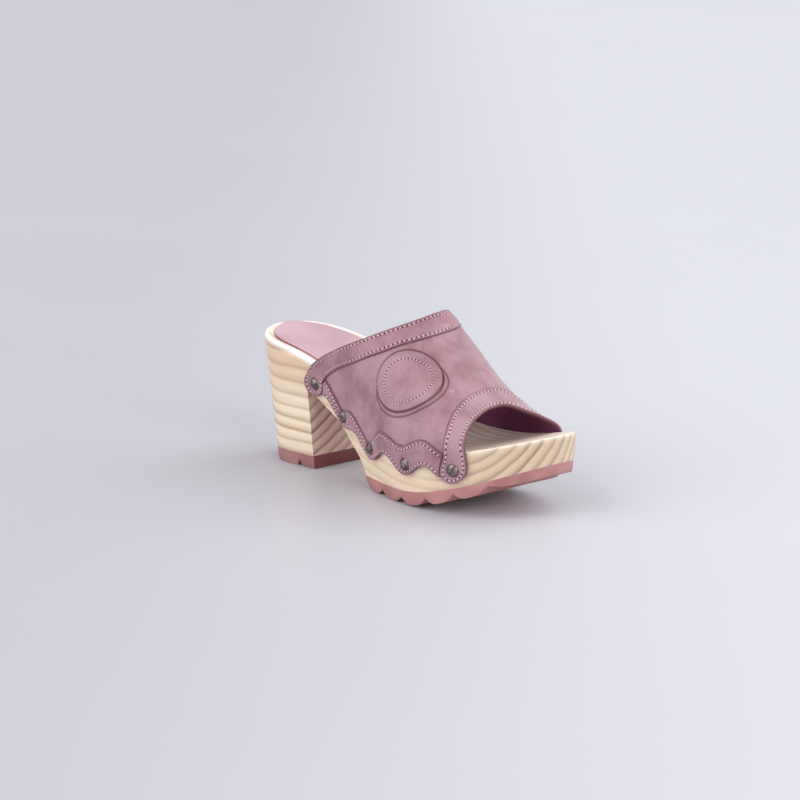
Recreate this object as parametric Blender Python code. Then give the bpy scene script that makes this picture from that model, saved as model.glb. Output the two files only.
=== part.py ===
"""Open-toed leather mule on a wooden platform sole with a block heel: the right shoe of a pair.

Frame: metres, +X to the toe, +Y to the wearer's left (the inner side of this shoe), +Z up, floor at Z = 0.
All sizes below are millimetres, counted forward from the back of the heel, with "outer" meaning the
wearer's right. PLACE moves the finished pieces so that the origin is on the floor under the middle.
"""

import bmesh
import bpy
import numpy as np
from mathutils.geometry import delaunay_2d_cdt

# Main sizes of the last
LENGTH = 249.7
BALL_WIDTH = 87.5
HEEL_HEIGHT = 84.7
INSTEP_HEIGHT = 70.4

# Wood and rubber
DRAFT = 0.102
RIM_ROUND = 2.0
BREAST = 61.0
BALL_EDGE = 121.5
RUBBER = 8.6
TOE_RUBBER = 6.1
THINS_FROM = 180.0
LUG_DEPTH = 4.5
LUG_FLAT = 0.2
GROOVE_AT = 47.0
GROOVE_HALF = 2.2
GROOVE_DEPTH = 4.2

# Leather and nails
VAMP = 1.2
BAND = 1.0
PAD = 1.8
PAD_INSET = 6.5
PAD_FRONT = 128.0
NAIL_RADIUS = 4.0
NAIL_DOME = 2.2
REAR_LOBE = 9.2
REAR_SQUAT = 0.89
REAR_BACK = 1.3
REAR_LEAN = 0.38
TOE_LOBE = 8.3
TOE_LOBE_TURN = 30.0
DIP_BACK = 2.0
PATCH_AT = (157.5, -36.8)
PATCH_SIZE = (21.5, 19.0)

# Clearances: between pieces that lie on each other, and between strips that end side by side
FIT = 0.3
BUTT = 0.45
BUTT_REAR_TOP = -1.1
BUTT_FRONT_TOP = -0.85
BAND_UNDER = 2 * FIT + VAMP
BAND_OVER = BAND_UNDER + BAND

# Width that the flat pattern gives to half of the upper, and where the finished part stands
FLAT = 70.0
PLACE = np.array([-124.85, 2.0, 0.0])

OUTER = -1
INNER = 1
SHARP_ANGLE = np.radians(35)


def table(names, rows):
    """Columns of a short table, by name."""
    return dict(zip(names.split(), np.array(rows, float).T))


# Plan of the footbed's edge, round from the back along the outer side: parts of LENGTH and BALL_WIDTH
OUTLINE = table("along aside", [
    (0.000, 0.017), (0.024, -0.183), (0.096, -0.345), (0.200, -0.358),
    (0.340, -0.353), (0.481, -0.414), (0.621, -0.493), (0.741, -0.517),
    (0.849, -0.448), (0.933, -0.286), (0.984, -0.050), (1.000, 0.119),
    (0.979, 0.297), (0.921, 0.417), (0.841, 0.470), (0.741, 0.483),
    (0.621, 0.433), (0.481, 0.343), (0.340, 0.350), (0.200, 0.374),
    (0.096, 0.331), (0.024, 0.209),
])

# Height of the footbed's edge, in parts of HEEL_HEIGHT, and how deep the footbed is dished
RIM = table("along height dish", [
    (0.000, 1.000, 0.0),
    (0.120, 0.953, 3.6),
    (0.240, 0.878, 3.8),
    (0.360, 0.738, 2.6),
    (0.481, 0.555, 1.8),
    (0.601, 0.438, 1.6),
    (0.721, 0.416, 1.6),
    (0.841, 0.470, 1.4),
    (0.993, 0.588, 0.0),
])

# Underside of the wood behind the ball, in parts of HEEL_HEIGHT
ARCH = table("along height", [
    (0.244, 0.654),
    (0.300, 0.546),
    (0.381, 0.418),
    (0.437, 0.276),
    (0.469, 0.191),
    (0.487, 0.105),
])

# Rise of the forefoot's underside towards the toe
TOE_SPRING = table("along rise", [
    (0.487, 0.0),
    (0.560, 0.0),
    (0.632, 0.0),
    (0.721, 2.4),
    (0.789, 6.3),
    (0.861, 11.5),
    (1.000, 25.0),
])

# Lugs across the forefoot: where each starts, as part of LENGTH, and the stations that shape one lug
LUG_NOTCHES = np.array([0.487, 0.564, 0.650, 0.741, 0.823, 0.898, 1.060]) * LENGTH
LUG_STATIONS = np.array([0.0, 0.12, 0.27, 0.5 - LUG_FLAT / 4, 0.5 + LUG_FLAT / 4, 0.73, 0.88])

# Crown of the upper over the footbed's edge, in parts of INSTEP_HEIGHT, its shift to the inner side,
# and how far each half of the section is fuller than an ellipse
CROWN = table("along rise aside full_outer full_inner", [
    (0.240, 1.522, 7.6, 0.000, 0.000),
    (0.400, 1.211, 7.6, 0.000, 0.000),
    (0.553, 1.015, 7.6, -0.030, 0.064),
    (0.681, 0.674, 7.2, 0.010, 0.023),
    (0.813, 0.262, 6.7, 0.060, -0.017),
    (0.901, 0.068, 6.7, 0.060, -0.017),
])

# Lines of the upper, parts of LENGTH, from the crown (across = 0) down to the footbed's edge (across = 1)
LINES = table("across collar collar_inner collar_front collar_front_inner toe_rear toe toe_inner", [
    (0.00, 0.570, 0.570, 0.614, 0.614, 0.752, 0.799, 0.799),
    (0.10, 0.569, 0.562, 0.614, 0.606, 0.752, 0.799, 0.802),
    (0.20, 0.559, 0.544, 0.606, 0.586, 0.754, 0.801, 0.809),
    (0.30, 0.539, 0.517, 0.589, 0.560, 0.757, 0.806, 0.817),
    (0.40, 0.511, 0.486, 0.563, 0.530, 0.764, 0.812, 0.826),
    (0.50, 0.479, 0.453, 0.533, 0.498, 0.771, 0.819, 0.832),
    (0.60, 0.443, 0.419, 0.496, 0.464, 0.780, 0.827, 0.838),
    (0.70, 0.405, 0.384, 0.459, 0.430, 0.791, 0.836, 0.846),
    (0.85, 0.345, 0.332, 0.396, 0.381, 0.806, 0.851, 0.856),
    (1.00, 0.280, 0.280, 0.337, 0.337, 0.812, 0.863, 0.866),
])

# Nails along one side: place, depth below the footbed's edge, depth of the side band's lobe below the nail
# and of its dip above it, then the hump of the band's two edges on the way to the next nail
NAILS = table("along depth lobe dip hump_along hump_low hump_high", [
    (0.288, 11.5, 19.1, 10.8, 0.325, 14.4, 2.3),
    (0.405, 13.6, 20.9, 10.8, 0.461, 14.6, 3.7),
    (0.533, 12.4, 20.1, 9.8, 0.606, 7.2, -4.5),
    (0.689, 7.4, 14.4, -2.7, 0.755, 6.6, -8.5),
    (0.833, 9.8, 18.1, 1.3, 0.833, 9.8, 1.3),
])

# Rings of a nail's dome, parts of its radius and height
NAIL_RINGS = table("radius height", [
    (1.00, 0.20),
    (0.80, 0.65),
    (0.45, 0.93),
])
NAIL_SIDES = 14

FINISHES = {
    "wood": {"colour": (0.80, 0.68, 0.49, 1.0), "roughness": 0.55, "metallic": 0.0},
    "rubber": {"colour": (0.42, 0.20, 0.19, 1.0), "roughness": 0.60, "metallic": 0.0},
    "vamp leather": {"colour": (0.43, 0.25, 0.30, 1.0), "roughness": 0.75, "metallic": 0.0},
    "band leather": {"colour": (0.35, 0.16, 0.21, 1.0), "roughness": 0.65, "metallic": 0.0},
    "pad leather": {"colour": (0.66, 0.47, 0.53, 1.0), "roughness": 0.60, "metallic": 0.0},
    "metal": {"colour": (0.18, 0.16, 0.16, 1.0), "roughness": 0.40, "metallic": 1.0},
}


def spline(knots, values):
    """Natural cubic curve through the values at the knots."""
    knots = np.asarray(knots, float)
    values = np.asarray(values, float)
    step = np.diff(knots)
    count = len(knots)
    system = np.eye(count)
    right = np.zeros_like(values)
    for i in range(1, count - 1):
        system[i, i - 1:i + 2] = step[i - 1], 2 * (step[i - 1] + step[i]), step[i]
        right[i] = 6 * ((values[i + 1] - values[i]) / step[i] - (values[i] - values[i - 1]) / step[i - 1])
    bend = np.linalg.solve(system, right)

    def curve(at):
        at = np.asarray(at, float)
        i = np.clip(np.searchsorted(knots, at) - 1, 0, count - 2)
        shape = at.shape + (1,) * (values.ndim - 1)
        width = step[i].reshape(shape)
        back = ((knots[i + 1] - at) / step[i]).reshape(shape)
        ahead = ((at - knots[i]) / step[i]).reshape(shape)
        straight = back * values[i] + ahead * values[i + 1]
        return straight + ((back**3 - back) * bend[i] + (ahead**3 - ahead) * bend[i + 1]) * width**2 / 6

    return curve


rim_height = spline(RIM["along"] * LENGTH, RIM["height"] * HEEL_HEIGHT)
dish_depth = spline(RIM["along"] * LENGTH, RIM["dish"])
arch_height = spline(ARCH["along"] * LENGTH, ARCH["height"] * HEEL_HEIGHT)
toe_spring = spline(TOE_SPRING["along"] * LENGTH, TOE_SPRING["rise"])
crown_rise = spline(CROWN["along"] * LENGTH, CROWN["rise"] * INSTEP_HEIGHT)
crown_aside = spline(CROWN["along"] * LENGTH, CROWN["aside"])
fullness = {
    OUTER: spline(CROWN["along"] * LENGTH, CROWN["full_outer"]),
    INNER: spline(CROWN["along"] * LENGTH, CROWN["full_inner"]),
}
line = {name: spline(LINES["across"], LINES[name] * LENGTH) for name in LINES if name != "across"}


def plan_sides(samples=2400):
    """The footbed's edge as two dense lines from heel to toe, outer and inner, with inward normals."""
    rows = np.stack([OUTLINE["along"] * LENGTH, OUTLINE["aside"] * BALL_WIDTH], axis=1)
    wrap = 5
    around = np.vstack([rows[-wrap:], rows, rows[:wrap + 1]])
    chords = np.sqrt(np.linalg.norm(np.diff(around, axis=0), axis=1))
    knots = np.concatenate([[0], np.cumsum(chords)])
    dense = spline(knots, around)(np.linspace(knots[wrap], knots[wrap + len(rows)], samples + 1)[:-1])
    dense = np.roll(dense, -np.argmin(dense[:, 0]), axis=0)
    ahead = np.roll(dense, -1, axis=0) - np.roll(dense, 1, axis=0)
    ahead /= np.linalg.norm(ahead, axis=1)[:, None]
    inward = np.stack([-ahead[:, 1], ahead[:, 0]], axis=1)
    toe = np.argmax(dense[:, 0])
    both = np.hstack([dense, inward])
    inner = np.vstack([both[toe:], both[:1]])[::-1]
    return {OUTER: both[:toe + 1], INNER: inner}


PLAN = plan_sides()


def edge(side, x, inset=0.0):
    """Plan points of one side at stations x, moved in by inset."""
    rows = PLAN[side]
    y, normal_x, normal_y = (np.interp(x, rows[:, 0], rows[:, k]) for k in (1, 2, 3))
    return np.stack([x + normal_x * inset, y + normal_y * inset], axis=-1)


def wood_side(side, x, depth):
    """Points on the side of the wood, depth below the footbed's edge."""
    return np.concatenate([edge(side, x, DRAFT * depth), (rim_height(x) - depth)[..., None]], axis=-1)


def footbed(x, y):
    """Height of the dished top of the wood."""
    outer = edge(OUTER, x)[..., 1]
    inner = edge(INNER, x)[..., 1]
    half = np.maximum((inner - outer) / 2 - RIM_ROUND, 1.0)
    aside = np.clip((y - (inner + outer) / 2) / half, -1, 1)
    return rim_height(x) - dish_depth(x) * (1 - aside**2)


def underside(x):
    """Height of the wood's underside in front of the heel."""
    ahead = RUBBER + FIT + np.maximum(toe_spring(x), 0)
    return np.where(x < BALL_EDGE, arch_height(x), ahead)


def tread(x):
    """Height of the forefoot's walking face: rounded lugs that meet in sharp notches."""
    thinning = np.interp(x, [THINS_FROM, LENGTH], [0, RUBBER - TOE_RUBBER])
    base = np.maximum(toe_spring(x), 0) + thinning
    i = np.clip(np.searchsorted(LUG_NOTCHES, x, side="right") - 1, 0, len(LUG_NOTCHES) - 2)
    from_middle = np.abs(2 * (x - LUG_NOTCHES[i]) / (LUG_NOTCHES[i + 1] - LUG_NOTCHES[i]) - 1)
    shoulder = np.clip((from_middle - LUG_FLAT) / (1 - LUG_FLAT), 0, 1)
    return base + LUG_DEPTH * shoulder**2


def ease(start, end, part):
    """Rounded step between two values."""
    return start + (end - start) * (1 - np.cos(np.pi * part)) / 2


def section(side, x, turn):
    """Point of the upper's cross-section: turn 0 at the footbed's edge, a quarter turn at the crown."""
    aside = crown_aside(x)
    half = np.abs(edge(side, x)[..., 1] - aside)
    full = 1 + fullness[side](x) * np.sin(2 * turn)**2
    up = crown_rise(x) * np.sin(turn) * full
    out = half * np.cos(turn) * full + DRAFT * up * (1 - np.sin(turn))**2
    return aside + side * out, rim_height(x) + up


def last_surface(flat):
    """Wrap flat pattern points over the last.

    A pattern point is (x, across): across runs from the crown to FLAT at the footbed's edge, negative on
    the outer side, and then counts millimetres down the side of the wood.
    """
    points = np.empty((len(flat), 3))
    turns = np.linspace(0, np.pi / 2, 49)
    for side in (OUTER, INNER):
        mine = (flat[:, 1] < 0) == (side == OUTER)
        x = flat[mine, 0]
        across = np.abs(flat[mine, 1])
        y, z = section(side, x[:, None], turns)
        steps = np.hypot(np.diff(y, axis=1), np.diff(z, axis=1))
        length = np.hstack([np.zeros((len(x), 1)), np.cumsum(steps, axis=1)])
        climb = np.clip(1 - across / FLAT, 0, 1) * length[:, -1]
        i = np.clip((length < climb[:, None]).sum(axis=1) - 1, 0, len(turns) - 2)
        row = np.arange(len(x))
        part = (climb - length[row, i]) / (length[row, i + 1] - length[row, i])
        y, z = section(side, x, turns[i] + part * (turns[1] - turns[0]))
        on_wood = wood_side(side, x, np.maximum(across - FLAT, 0))
        points[mine] = np.where((across > FLAT)[:, None], on_wood, np.stack([x, y, z], axis=1))
    return points


def lifted(flat, lift):
    """Pattern points wrapped over the last and raised off it by lift."""
    reach = 0.4
    along = last_surface(flat + [reach, 0]) - last_surface(flat - [reach, 0])
    across = last_surface(flat + [0, reach]) - last_surface(flat - [0, reach])
    normal = np.cross(along, across)
    normal /= np.linalg.norm(normal, axis=1)[:, None]
    return last_surface(flat) + normal * np.reshape(lift, (-1, 1))


def material(name):
    """One plain material by name."""
    found = bpy.data.materials.get(name)
    if found is None:
        found = bpy.data.materials.new(name)
        found.use_nodes = True
        finish = FINISHES[name]
        shader = found.node_tree.nodes["Principled BSDF"].inputs
        shader["Base Color"].default_value = finish["colour"]
        shader["Roughness"].default_value = finish["roughness"]
        shader["Metallic"].default_value = finish["metallic"]
    return found


def shade(mesh):
    """Smooth shading that keeps the cut edges sharp."""
    mesh.shade_smooth()
    mesh.set_sharp_from_angle(angle=SHARP_ANGLE)


def solid(name, stuff, polygons):
    """A closed solid from polygons of points: equal points are shared and flattened corners dropped."""
    numbers = {}
    faces = []
    for polygon in polygons:
        keys = [tuple(np.round(point, 4) + 0.0) for point in polygon]
        ids = [numbers.setdefault(key, len(numbers)) for key in keys]
        ids = [n for n, before in zip(ids, ids[-1:] + ids[:-1]) if n != before]
        if len(ids) > 2:
            faces.append(ids)
    points = (np.array(list(numbers)) + PLACE) / 1000
    mesh = bpy.data.meshes.new(name)
    mesh.from_pydata(points.tolist(), [], faces)
    work = bmesh.new()
    work.from_mesh(mesh)
    bmesh.ops.recalc_face_normals(work, faces=work.faces)
    work.to_mesh(mesh)
    work.free()
    shade(mesh)
    made = bpy.data.objects.new(name, mesh)
    made.data.materials.append(material(stuff))
    bpy.context.collection.objects.link(made)
    return made


def strips(first, second):
    """Quads between two rows of points."""
    return [(first[i], first[i + 1], second[i + 1], second[i]) for i in range(len(first) - 1)]


def spread(start, end, count):
    """Stations between two places, close together at both ends."""
    return start + (end - start) * (1 - np.cos(np.linspace(0, np.pi, count))) / 2


def rows_across(x, inset, height, columns, front=None, back=None):
    """Rows of points from the outer to the inner side at each station, with a flat end where one is named."""
    outer = edge(OUTER, x, inset)
    inner = edge(INNER, x, inset)
    if front is None:
        inner[-1] = outer[-1]
    else:
        outer[-1, 0] = inner[-1, 0] = front
    if back is None:
        inner[0] = outer[0]
    else:
        outer[0, 0] = inner[0, 0] = back
    part = np.linspace(0, 1, columns)[None, :, None]
    plan = outer[:, None] * (1 - part) + inner[:, None] * part
    return np.concatenate([plan, height(plan[..., 0], plan[..., 1])[..., None]], axis=-1)


def loop(rows):
    """The rim of rows of points, round the shoe and back to its start."""
    return np.vstack([rows[:, 0], rows[-1, 1:-1], rows[::-1, -1], rows[0, -2:0:-1], rows[:1, 0]])


def skin(rows):
    """Quads over rows of points."""
    return [quad for i in range(len(rows) - 1) for quad in strips(rows[i], rows[i + 1])]


def cut(body, cutter):
    """Take the cutter out of the body."""
    cutter.hide_render = True
    cutter.display_type = "WIRE"
    step = body.modifiers.new("cut", "BOOLEAN")
    step.operation = "DIFFERENCE"
    step.solver = "EXACT"
    step.object = cutter
    bpy.context.view_layer.update()
    finished = bpy.data.meshes.new_from_object(body.evaluated_get(bpy.context.evaluated_depsgraph_get()))
    body.modifiers.clear()
    body.data = finished
    shade(finished)
    bpy.data.objects.remove(cutter)


def wooden_sole():
    """Heel, waist and platform carved from one block, with the space under the arch sawn out."""
    x = spread(0, PLAN[OUTER][-1, 0], 45)
    floor = RUBBER + FIT
    chamfer = 0.3 * RIM_ROUND

    def level(depth, inset):
        return rows_across(x, inset, lambda px, py: rim_height(px) - depth, 2)

    top = rows_across(x, RIM_ROUND, footbed, 9)
    foot_inset = DRAFT * (rim_height(x) - floor)
    foot = rows_across(x, foot_inset, lambda px, py: np.full_like(px, floor), 2)
    rings = [
        loop(top[:, [0, -1]]),
        loop(level(chamfer, chamfer)),
        loop(level(RIM_ROUND, DRAFT * RIM_ROUND)),
        loop(foot),
    ]
    polygons = skin(top) + skin(foot)
    for above, below in zip(rings, rings[1:]):
        polygons += strips(above, below)
    body = solid("wooden_sole", "wood", polygons)
    cut(body, arch_cutter())


def arch_cutter():
    """Everything below the arch and the forefoot, in front of the heel's breast."""
    ahead = LENGTH + 8
    below = -5.0
    arch = np.linspace(BREAST, BALL_EDGE, 15)
    forefoot = np.linspace(BALL_EDGE + 0.2, ahead, 22)
    profile = [(x, float(underside(x))) for x in np.concatenate([arch, forefoot])]
    profile += [(ahead, below), (BREAST, below)]
    near = [(x, -BALL_WIDTH, z) for x, z in profile]
    far = [(x, BALL_WIDTH, z) for x, z in profile]
    return solid("arch cutter", "wood", [near, far[::-1]] + strips(near + near[:1], far + far[:1]))


def rubber_piece(name, x, top, bottom, front=None, back=None):
    """A rubber slab flush with the wood's side, between two heights along the shoe."""

    def face(height):
        inset = DRAFT * (rim_height(x) - height(x))
        return rows_across(x, inset, lambda px, py: height(px), 2, front, back)

    upper_face = face(top)
    lower_face = face(bottom)
    solid(name, "rubber", skin(upper_face) + skin(lower_face) + strips(loop(upper_face), loop(lower_face)))


def heel_top_lift():
    """Rubber under the heel, with one groove across it."""
    groove = GROOVE_AT + GROOVE_HALF * np.array([-1, 0, 1])
    x = np.sort(np.concatenate([spread(0, 2 * BREAST, 39)[:20], groove]))

    def top(at):
        return np.full_like(at, RUBBER)

    def bottom(at):
        return GROOVE_DEPTH * np.clip(1 - np.abs(at - GROOVE_AT) / GROOVE_HALF, 0, 1)

    rubber_piece("heel_top_lift", x, top, bottom, front=BREAST)


def forefoot_outsole():
    """Lugged rubber under the forefoot, following the toe spring."""
    tip = PLAN[OUTER][-1, 0]
    nose = 15.0
    lugs = (LUG_NOTCHES[:-1, None] + np.diff(LUG_NOTCHES)[:, None] * LUG_STATIONS).ravel()
    round_the_toe = tip - nose * (1 - np.sin(np.linspace(0, np.pi / 2, 9)))
    x = np.concatenate([lugs[lugs < tip - nose - 1], round_the_toe])

    def top(at):
        return underside(np.maximum(at, BALL_EDGE)) - FIT

    rubber_piece("forefoot_outsole", x, top, tread, back=BALL_EDGE)


def insole_pad():
    """Thin leather pad in the heel seat and waist."""
    x = spread(0, 2 * PAD_FRONT, 51)[:26]
    low = rows_across(x, PAD_INSET, lambda px, py: footbed(px, py) + FIT, 9, front=PAD_FRONT)
    high = low + [0, 0, PAD]
    solid("insole_pad", "pad leather", skin(low) + skin(high) + strips(loop(low), loop(high)))


def inside_points(outline, along, across):
    """A staggered grid of pattern points well inside an outline."""
    low = outline.min(axis=0)
    high = outline.max(axis=0)
    grid = []
    for k, v in enumerate(np.arange(low[1] + across / 2, high[1], across)):
        xs = np.arange(low[0] + along * (0.25 + 0.5 * (k % 2)), high[0], along)
        grid.append(np.stack([xs, np.full_like(xs, v)], axis=1))
    grid = np.vstack(grid)
    crossings = np.zeros(len(grid), int)
    nearest = np.full(len(grid), np.inf)
    size = np.array([along, across])
    for a, b in zip(outline, np.roll(outline, -1, axis=0)):
        span = (grid[:, 1] < a[1]) != (grid[:, 1] < b[1])
        if a[1] != b[1]:
            crossings += span & (grid[:, 0] < a[0] + (grid[:, 1] - a[1]) * (b[0] - a[0]) / (b[1] - a[1]))
        step = (b - a) / size
        away = (grid - a) / size
        part = np.clip(away @ step / max(step @ step, 1e-9), 0, 1)
        nearest = np.minimum(nearest, np.linalg.norm(away - part[:, None] * step, axis=1))
    return grid[(crossings % 2 == 1) & (nearest > 0.45)]


def wrapped(name, stuff, outline, inside, under, over):
    """A sheet cut to an outline, wrapped over the last between two lifts; over may change from point to point."""
    flat = np.vstack([outline, inside])
    count = len(outline)
    ring = [(i, (i + 1) % count) for i in range(count)]
    even_spacing = [1, 2]
    _, _, triangles, origin, _, _ = delaunay_2d_cdt((flat * even_spacing).tolist(), ring, [], 1, 1e-6)
    flat = np.array([flat[o[0]] for o in origin])
    low = lifted(flat, under)
    high = lifted(flat, over(flat) if callable(over) else over)
    uses = {}
    for triangle in triangles:
        for pair in zip(triangle, triangle[1:] + triangle[:1]):
            uses[frozenset(pair)] = uses.get(frozenset(pair), 0) + 1
    rim = [tuple(pair) for pair, times in uses.items() if times == 1]
    polygons = [[low[i] for i in triangle] for triangle in triangles]
    polygons += [[high[i] for i in triangle] for triangle in triangles]
    polygons += [(low[i], low[j], high[j], high[i]) for i, j in rim]
    solid(name, stuff, polygons)


def arc(nail, radius, start, end, count):
    """Pattern points round a nail, angles in degrees from straight ahead towards the floor."""
    turn = np.radians(np.linspace(start, end, count))
    ahead = radius * np.cos(turn)
    down = radius * np.sin(turn)
    if nail == 0:
        ahead = ahead - REAR_BACK
        down = REAR_SQUAT * down - REAR_LEAN * ahead
    return np.stack([NAILS["along"][nail] * LENGTH + ahead, FLAT + NAILS["depth"][nail] + down], axis=1)


def edge_line(side, name, start, end, count):
    """Pattern points on one of the upper's lines between two places across."""
    across = np.linspace(start, end, count)
    own = name + "_inner" if side == INNER and name + "_inner" in line else name
    return np.stack([line[own](across), FLAT * across], axis=1)


def wave(x, low):
    """Depth of the side band's lower or upper edge: round lobes below the nails, tighter dips above."""
    nails = NAILS["along"] * LENGTH
    humps = NAILS["hump_along"] * LENGTH
    if low:
        turn = np.radians(TOE_LOBE_TURN)
        nails = np.append(nails[:-1] - DIP_BACK, nails[-1] - TOE_LOBE * np.cos(turn))
        lobes = np.append(NAILS["lobe"][:-1], NAILS["depth"][-1] + TOE_LOBE * np.sin(turn))
        tops = NAILS["hump_low"]
    else:
        nails = nails - DIP_BACK
        humps = humps - DIP_BACK
        lobes = NAILS["dip"]
        tops = NAILS["hump_high"]
    i = np.clip(np.searchsorted(nails, x, side="right") - 1, 0, len(nails) - 2)
    rising = x < humps[i]
    bottom = np.where(rising, lobes[i], lobes[i + 1])
    from_nail = np.where(rising, nails[i], nails[i + 1])
    part = np.clip((x - from_nail) / (humps[i] - from_nail), 0, 1)
    if low:
        return ease(bottom, tops[i], part)
    cusped = bottom + (tops[i] - bottom) * np.sin(np.pi / 2 * part)
    return (cusped + ease(bottom, tops[i], part)) / 2


def wave_line(start, end, count, low):
    """Pattern points on one edge of the side band."""
    x = np.linspace(start, end, count)
    return np.stack([x, FLAT + wave(x, low)], axis=1)


def both_sides(half):
    """A closed outline from its two halves, which start and end on the crown."""
    return np.vstack([half(INNER), (half(OUTER) * [1, -1])[-2:0:-1]])


def upper():
    """The vamp: one leather sheet over the last, open at collar, toe and underneath."""
    first_hump = NAILS["hump_along"][0] * LENGTH
    toe_lobe_start = NAILS["along"][-1] * LENGTH - 0.9 * TOE_LOBE

    def half(side):
        return np.vstack([
            edge_line(side, "collar", 0, 1, 24),
            arc(0, REAR_LOBE, 200, 50, 9),
            wave_line(first_hump, toe_lobe_start, 34, low=True),
            arc(4, TOE_LOBE, 145, -5, 8),
            edge_line(side, "toe", 1, 0, 24),
        ])

    outline = both_sides(half)
    wrapped("upper", "vamp leather", outline, inside_points(outline, 7.0, 3.4), FIT, FIT + VAMP)


def band(name, outline):
    """A leather strip on the vamp."""
    wrapped(name, "band leather", outline, inside_points(outline, 6.0, 3.4), BAND_UNDER, BAND_OVER)


def collar_band():
    """Strip round the collar, ending in a lobe round the rearmost nail of each side."""
    band("collar_band", both_sides(lambda side: np.vstack([
        edge_line(side, "collar_front", 0, 1, 24),
        arc(0, REAR_LOBE, -15, 200, 13),
        edge_line(side, "collar", 1, 0, 24),
    ])))


def toe_band():
    """Strip round the toe opening, ending in a lobe round the front nail of each side."""
    band("toe_band", both_sides(lambda side: np.vstack([
        edge_line(side, "toe_rear", 0, 1, 22),
        arc(4, TOE_LOBE, 185, -5, 10),
        edge_line(side, "toe", 1, 0, 22),
    ])))


def side_band(name, side):
    """Wavy strip along the footbed's edge, butted to the collar and toe bands."""
    rear = arc(0, REAR_LOBE + BUTT, 35, -10, 5)
    front = arc(4, TOE_LOBE + BUTT, 185, 155, 3)
    rear_top = line["collar_front"](1.0) + BUTT_REAR_TOP
    front_top = line["toe_rear"](1.0) + BUTT_FRONT_TOP
    corner = 2.0
    outline = np.vstack([
        rear,
        wave_line(rear_top, front_top, 36, low=False),
        front,
        wave_line(rear[0, 0] + corner, front[-1, 0] - corner, 32, low=True)[::-1],
    ])
    band(name, outline * [1, side])


def disc(centre, size, rings, count):
    """Pattern points of ovals that have their true size as seen straight on to the last."""
    centre = np.array([centre])
    middle = last_surface(centre)
    along = (last_surface(centre + [1, 0]) - last_surface(centre - [1, 0]))[0] / 2
    across = (last_surface(centre + [0, 1]) - last_surface(centre - [0, 1]))[0] / 2
    first = along / np.linalg.norm(along)
    second = across - (across @ first) * first
    facing = np.stack([first, second / np.linalg.norm(second)], axis=1)
    to_flat = np.linalg.inv(facing.T @ np.stack([along, across], axis=1)).T
    turn = np.linspace(0, 2 * np.pi, count, endpoint=False)
    circle = np.stack([np.cos(turn), np.sin(turn)], axis=1) * size
    damping = 0.7
    found = []
    for part in rings:
        flat = centre + part * circle @ to_flat
        for _ in range(6):
            flat = flat + damping * (part * circle - (last_surface(flat) - middle) @ facing) @ to_flat
        found.append(flat)
    return found


def patch():
    """Plain oval leather patch on the outer side."""
    outline = disc(PATCH_AT, PATCH_SIZE, [1.0], 36)[0]
    wrapped("side_patch", "vamp leather", outline, inside_points(outline, 6.0, 3.6), BAND_UNDER, BAND_OVER)


def nail(name, side, number):
    """Domed nail head standing on the band."""
    centre = (NAILS["along"][number] * LENGTH, side * (FLAT + NAILS["depth"][number]))
    rings = disc(centre, (NAIL_RADIUS, NAIL_RADIUS), NAIL_RINGS["radius"], NAIL_SIDES)
    places = np.vstack(rings + [[centre]])
    heights = np.append(np.repeat(NAIL_RINGS["height"], NAIL_SIDES), 1.0)
    under = BAND_OVER + FIT

    def over(flat):
        nearest = np.linalg.norm(flat[:, None] - places[None], axis=2).argmin(axis=1)
        return under + NAIL_DOME * heights[nearest]

    wrapped(name, "metal", rings[0], places[NAIL_SIDES:], under, over)


def build():
    """Make every piece."""
    for old in list(bpy.data.objects):
        bpy.data.objects.remove(old)
    wooden_sole()
    heel_top_lift()
    forefoot_outsole()
    insole_pad()
    upper()
    collar_band()
    toe_band()
    side_band("side_band_outer", OUTER)
    side_band("side_band_inner", INNER)
    patch()
    for number in range(len(NAILS["along"])):
        nail(f"nail_outer_{number + 1}", OUTER, number)
        nail(f"nail_inner_{number + 1}", INNER, number)


build()
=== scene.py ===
"""Looks of the open-toed leather mule on its wooden sole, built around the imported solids.

Shapes are in millimetres, counted forward from the back of the heel, as in the part's own source.
placed() turns them into the frame's metres.
"""

from dataclasses import dataclass

import bpy
import numpy as np
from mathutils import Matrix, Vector, kdtree
from mathutils.geometry import delaunay_2d_cdt


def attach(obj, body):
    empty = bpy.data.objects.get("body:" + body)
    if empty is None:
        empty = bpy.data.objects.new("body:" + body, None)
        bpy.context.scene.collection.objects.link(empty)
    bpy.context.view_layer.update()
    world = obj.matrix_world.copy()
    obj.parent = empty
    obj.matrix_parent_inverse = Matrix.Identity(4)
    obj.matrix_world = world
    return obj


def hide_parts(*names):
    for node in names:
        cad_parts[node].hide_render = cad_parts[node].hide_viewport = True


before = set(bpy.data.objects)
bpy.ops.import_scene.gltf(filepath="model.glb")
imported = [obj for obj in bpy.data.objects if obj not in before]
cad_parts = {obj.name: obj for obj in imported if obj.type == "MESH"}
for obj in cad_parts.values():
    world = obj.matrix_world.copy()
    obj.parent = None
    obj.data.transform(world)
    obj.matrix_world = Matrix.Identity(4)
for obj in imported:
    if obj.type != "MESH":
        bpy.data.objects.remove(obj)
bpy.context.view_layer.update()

# Main sizes of the last
LENGTH = 249.7
BALL_WIDTH = 87.5
HEEL_HEIGHT = 84.7
INSTEP_HEIGHT = 70.4

# Wood and rubber
DRAFT = 0.102
RIM_ROUND = 2.0
BREAST = 61.0
BALL_EDGE = 121.5
RUBBER = 8.6
TOE_RUBBER = 6.1
THINS_FROM = 180.0
LUG_DEPTH = 4.5
LUG_FLAT = 0.2
GROOVE_AT = 47.0
GROOVE_HALF = 2.2
GROOVE_DEPTH = 4.2
WOOD_GAP = 0.02
RUBBER_CHAMFER = 0.5
NOSE_LENGTH = 15.0

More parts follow.
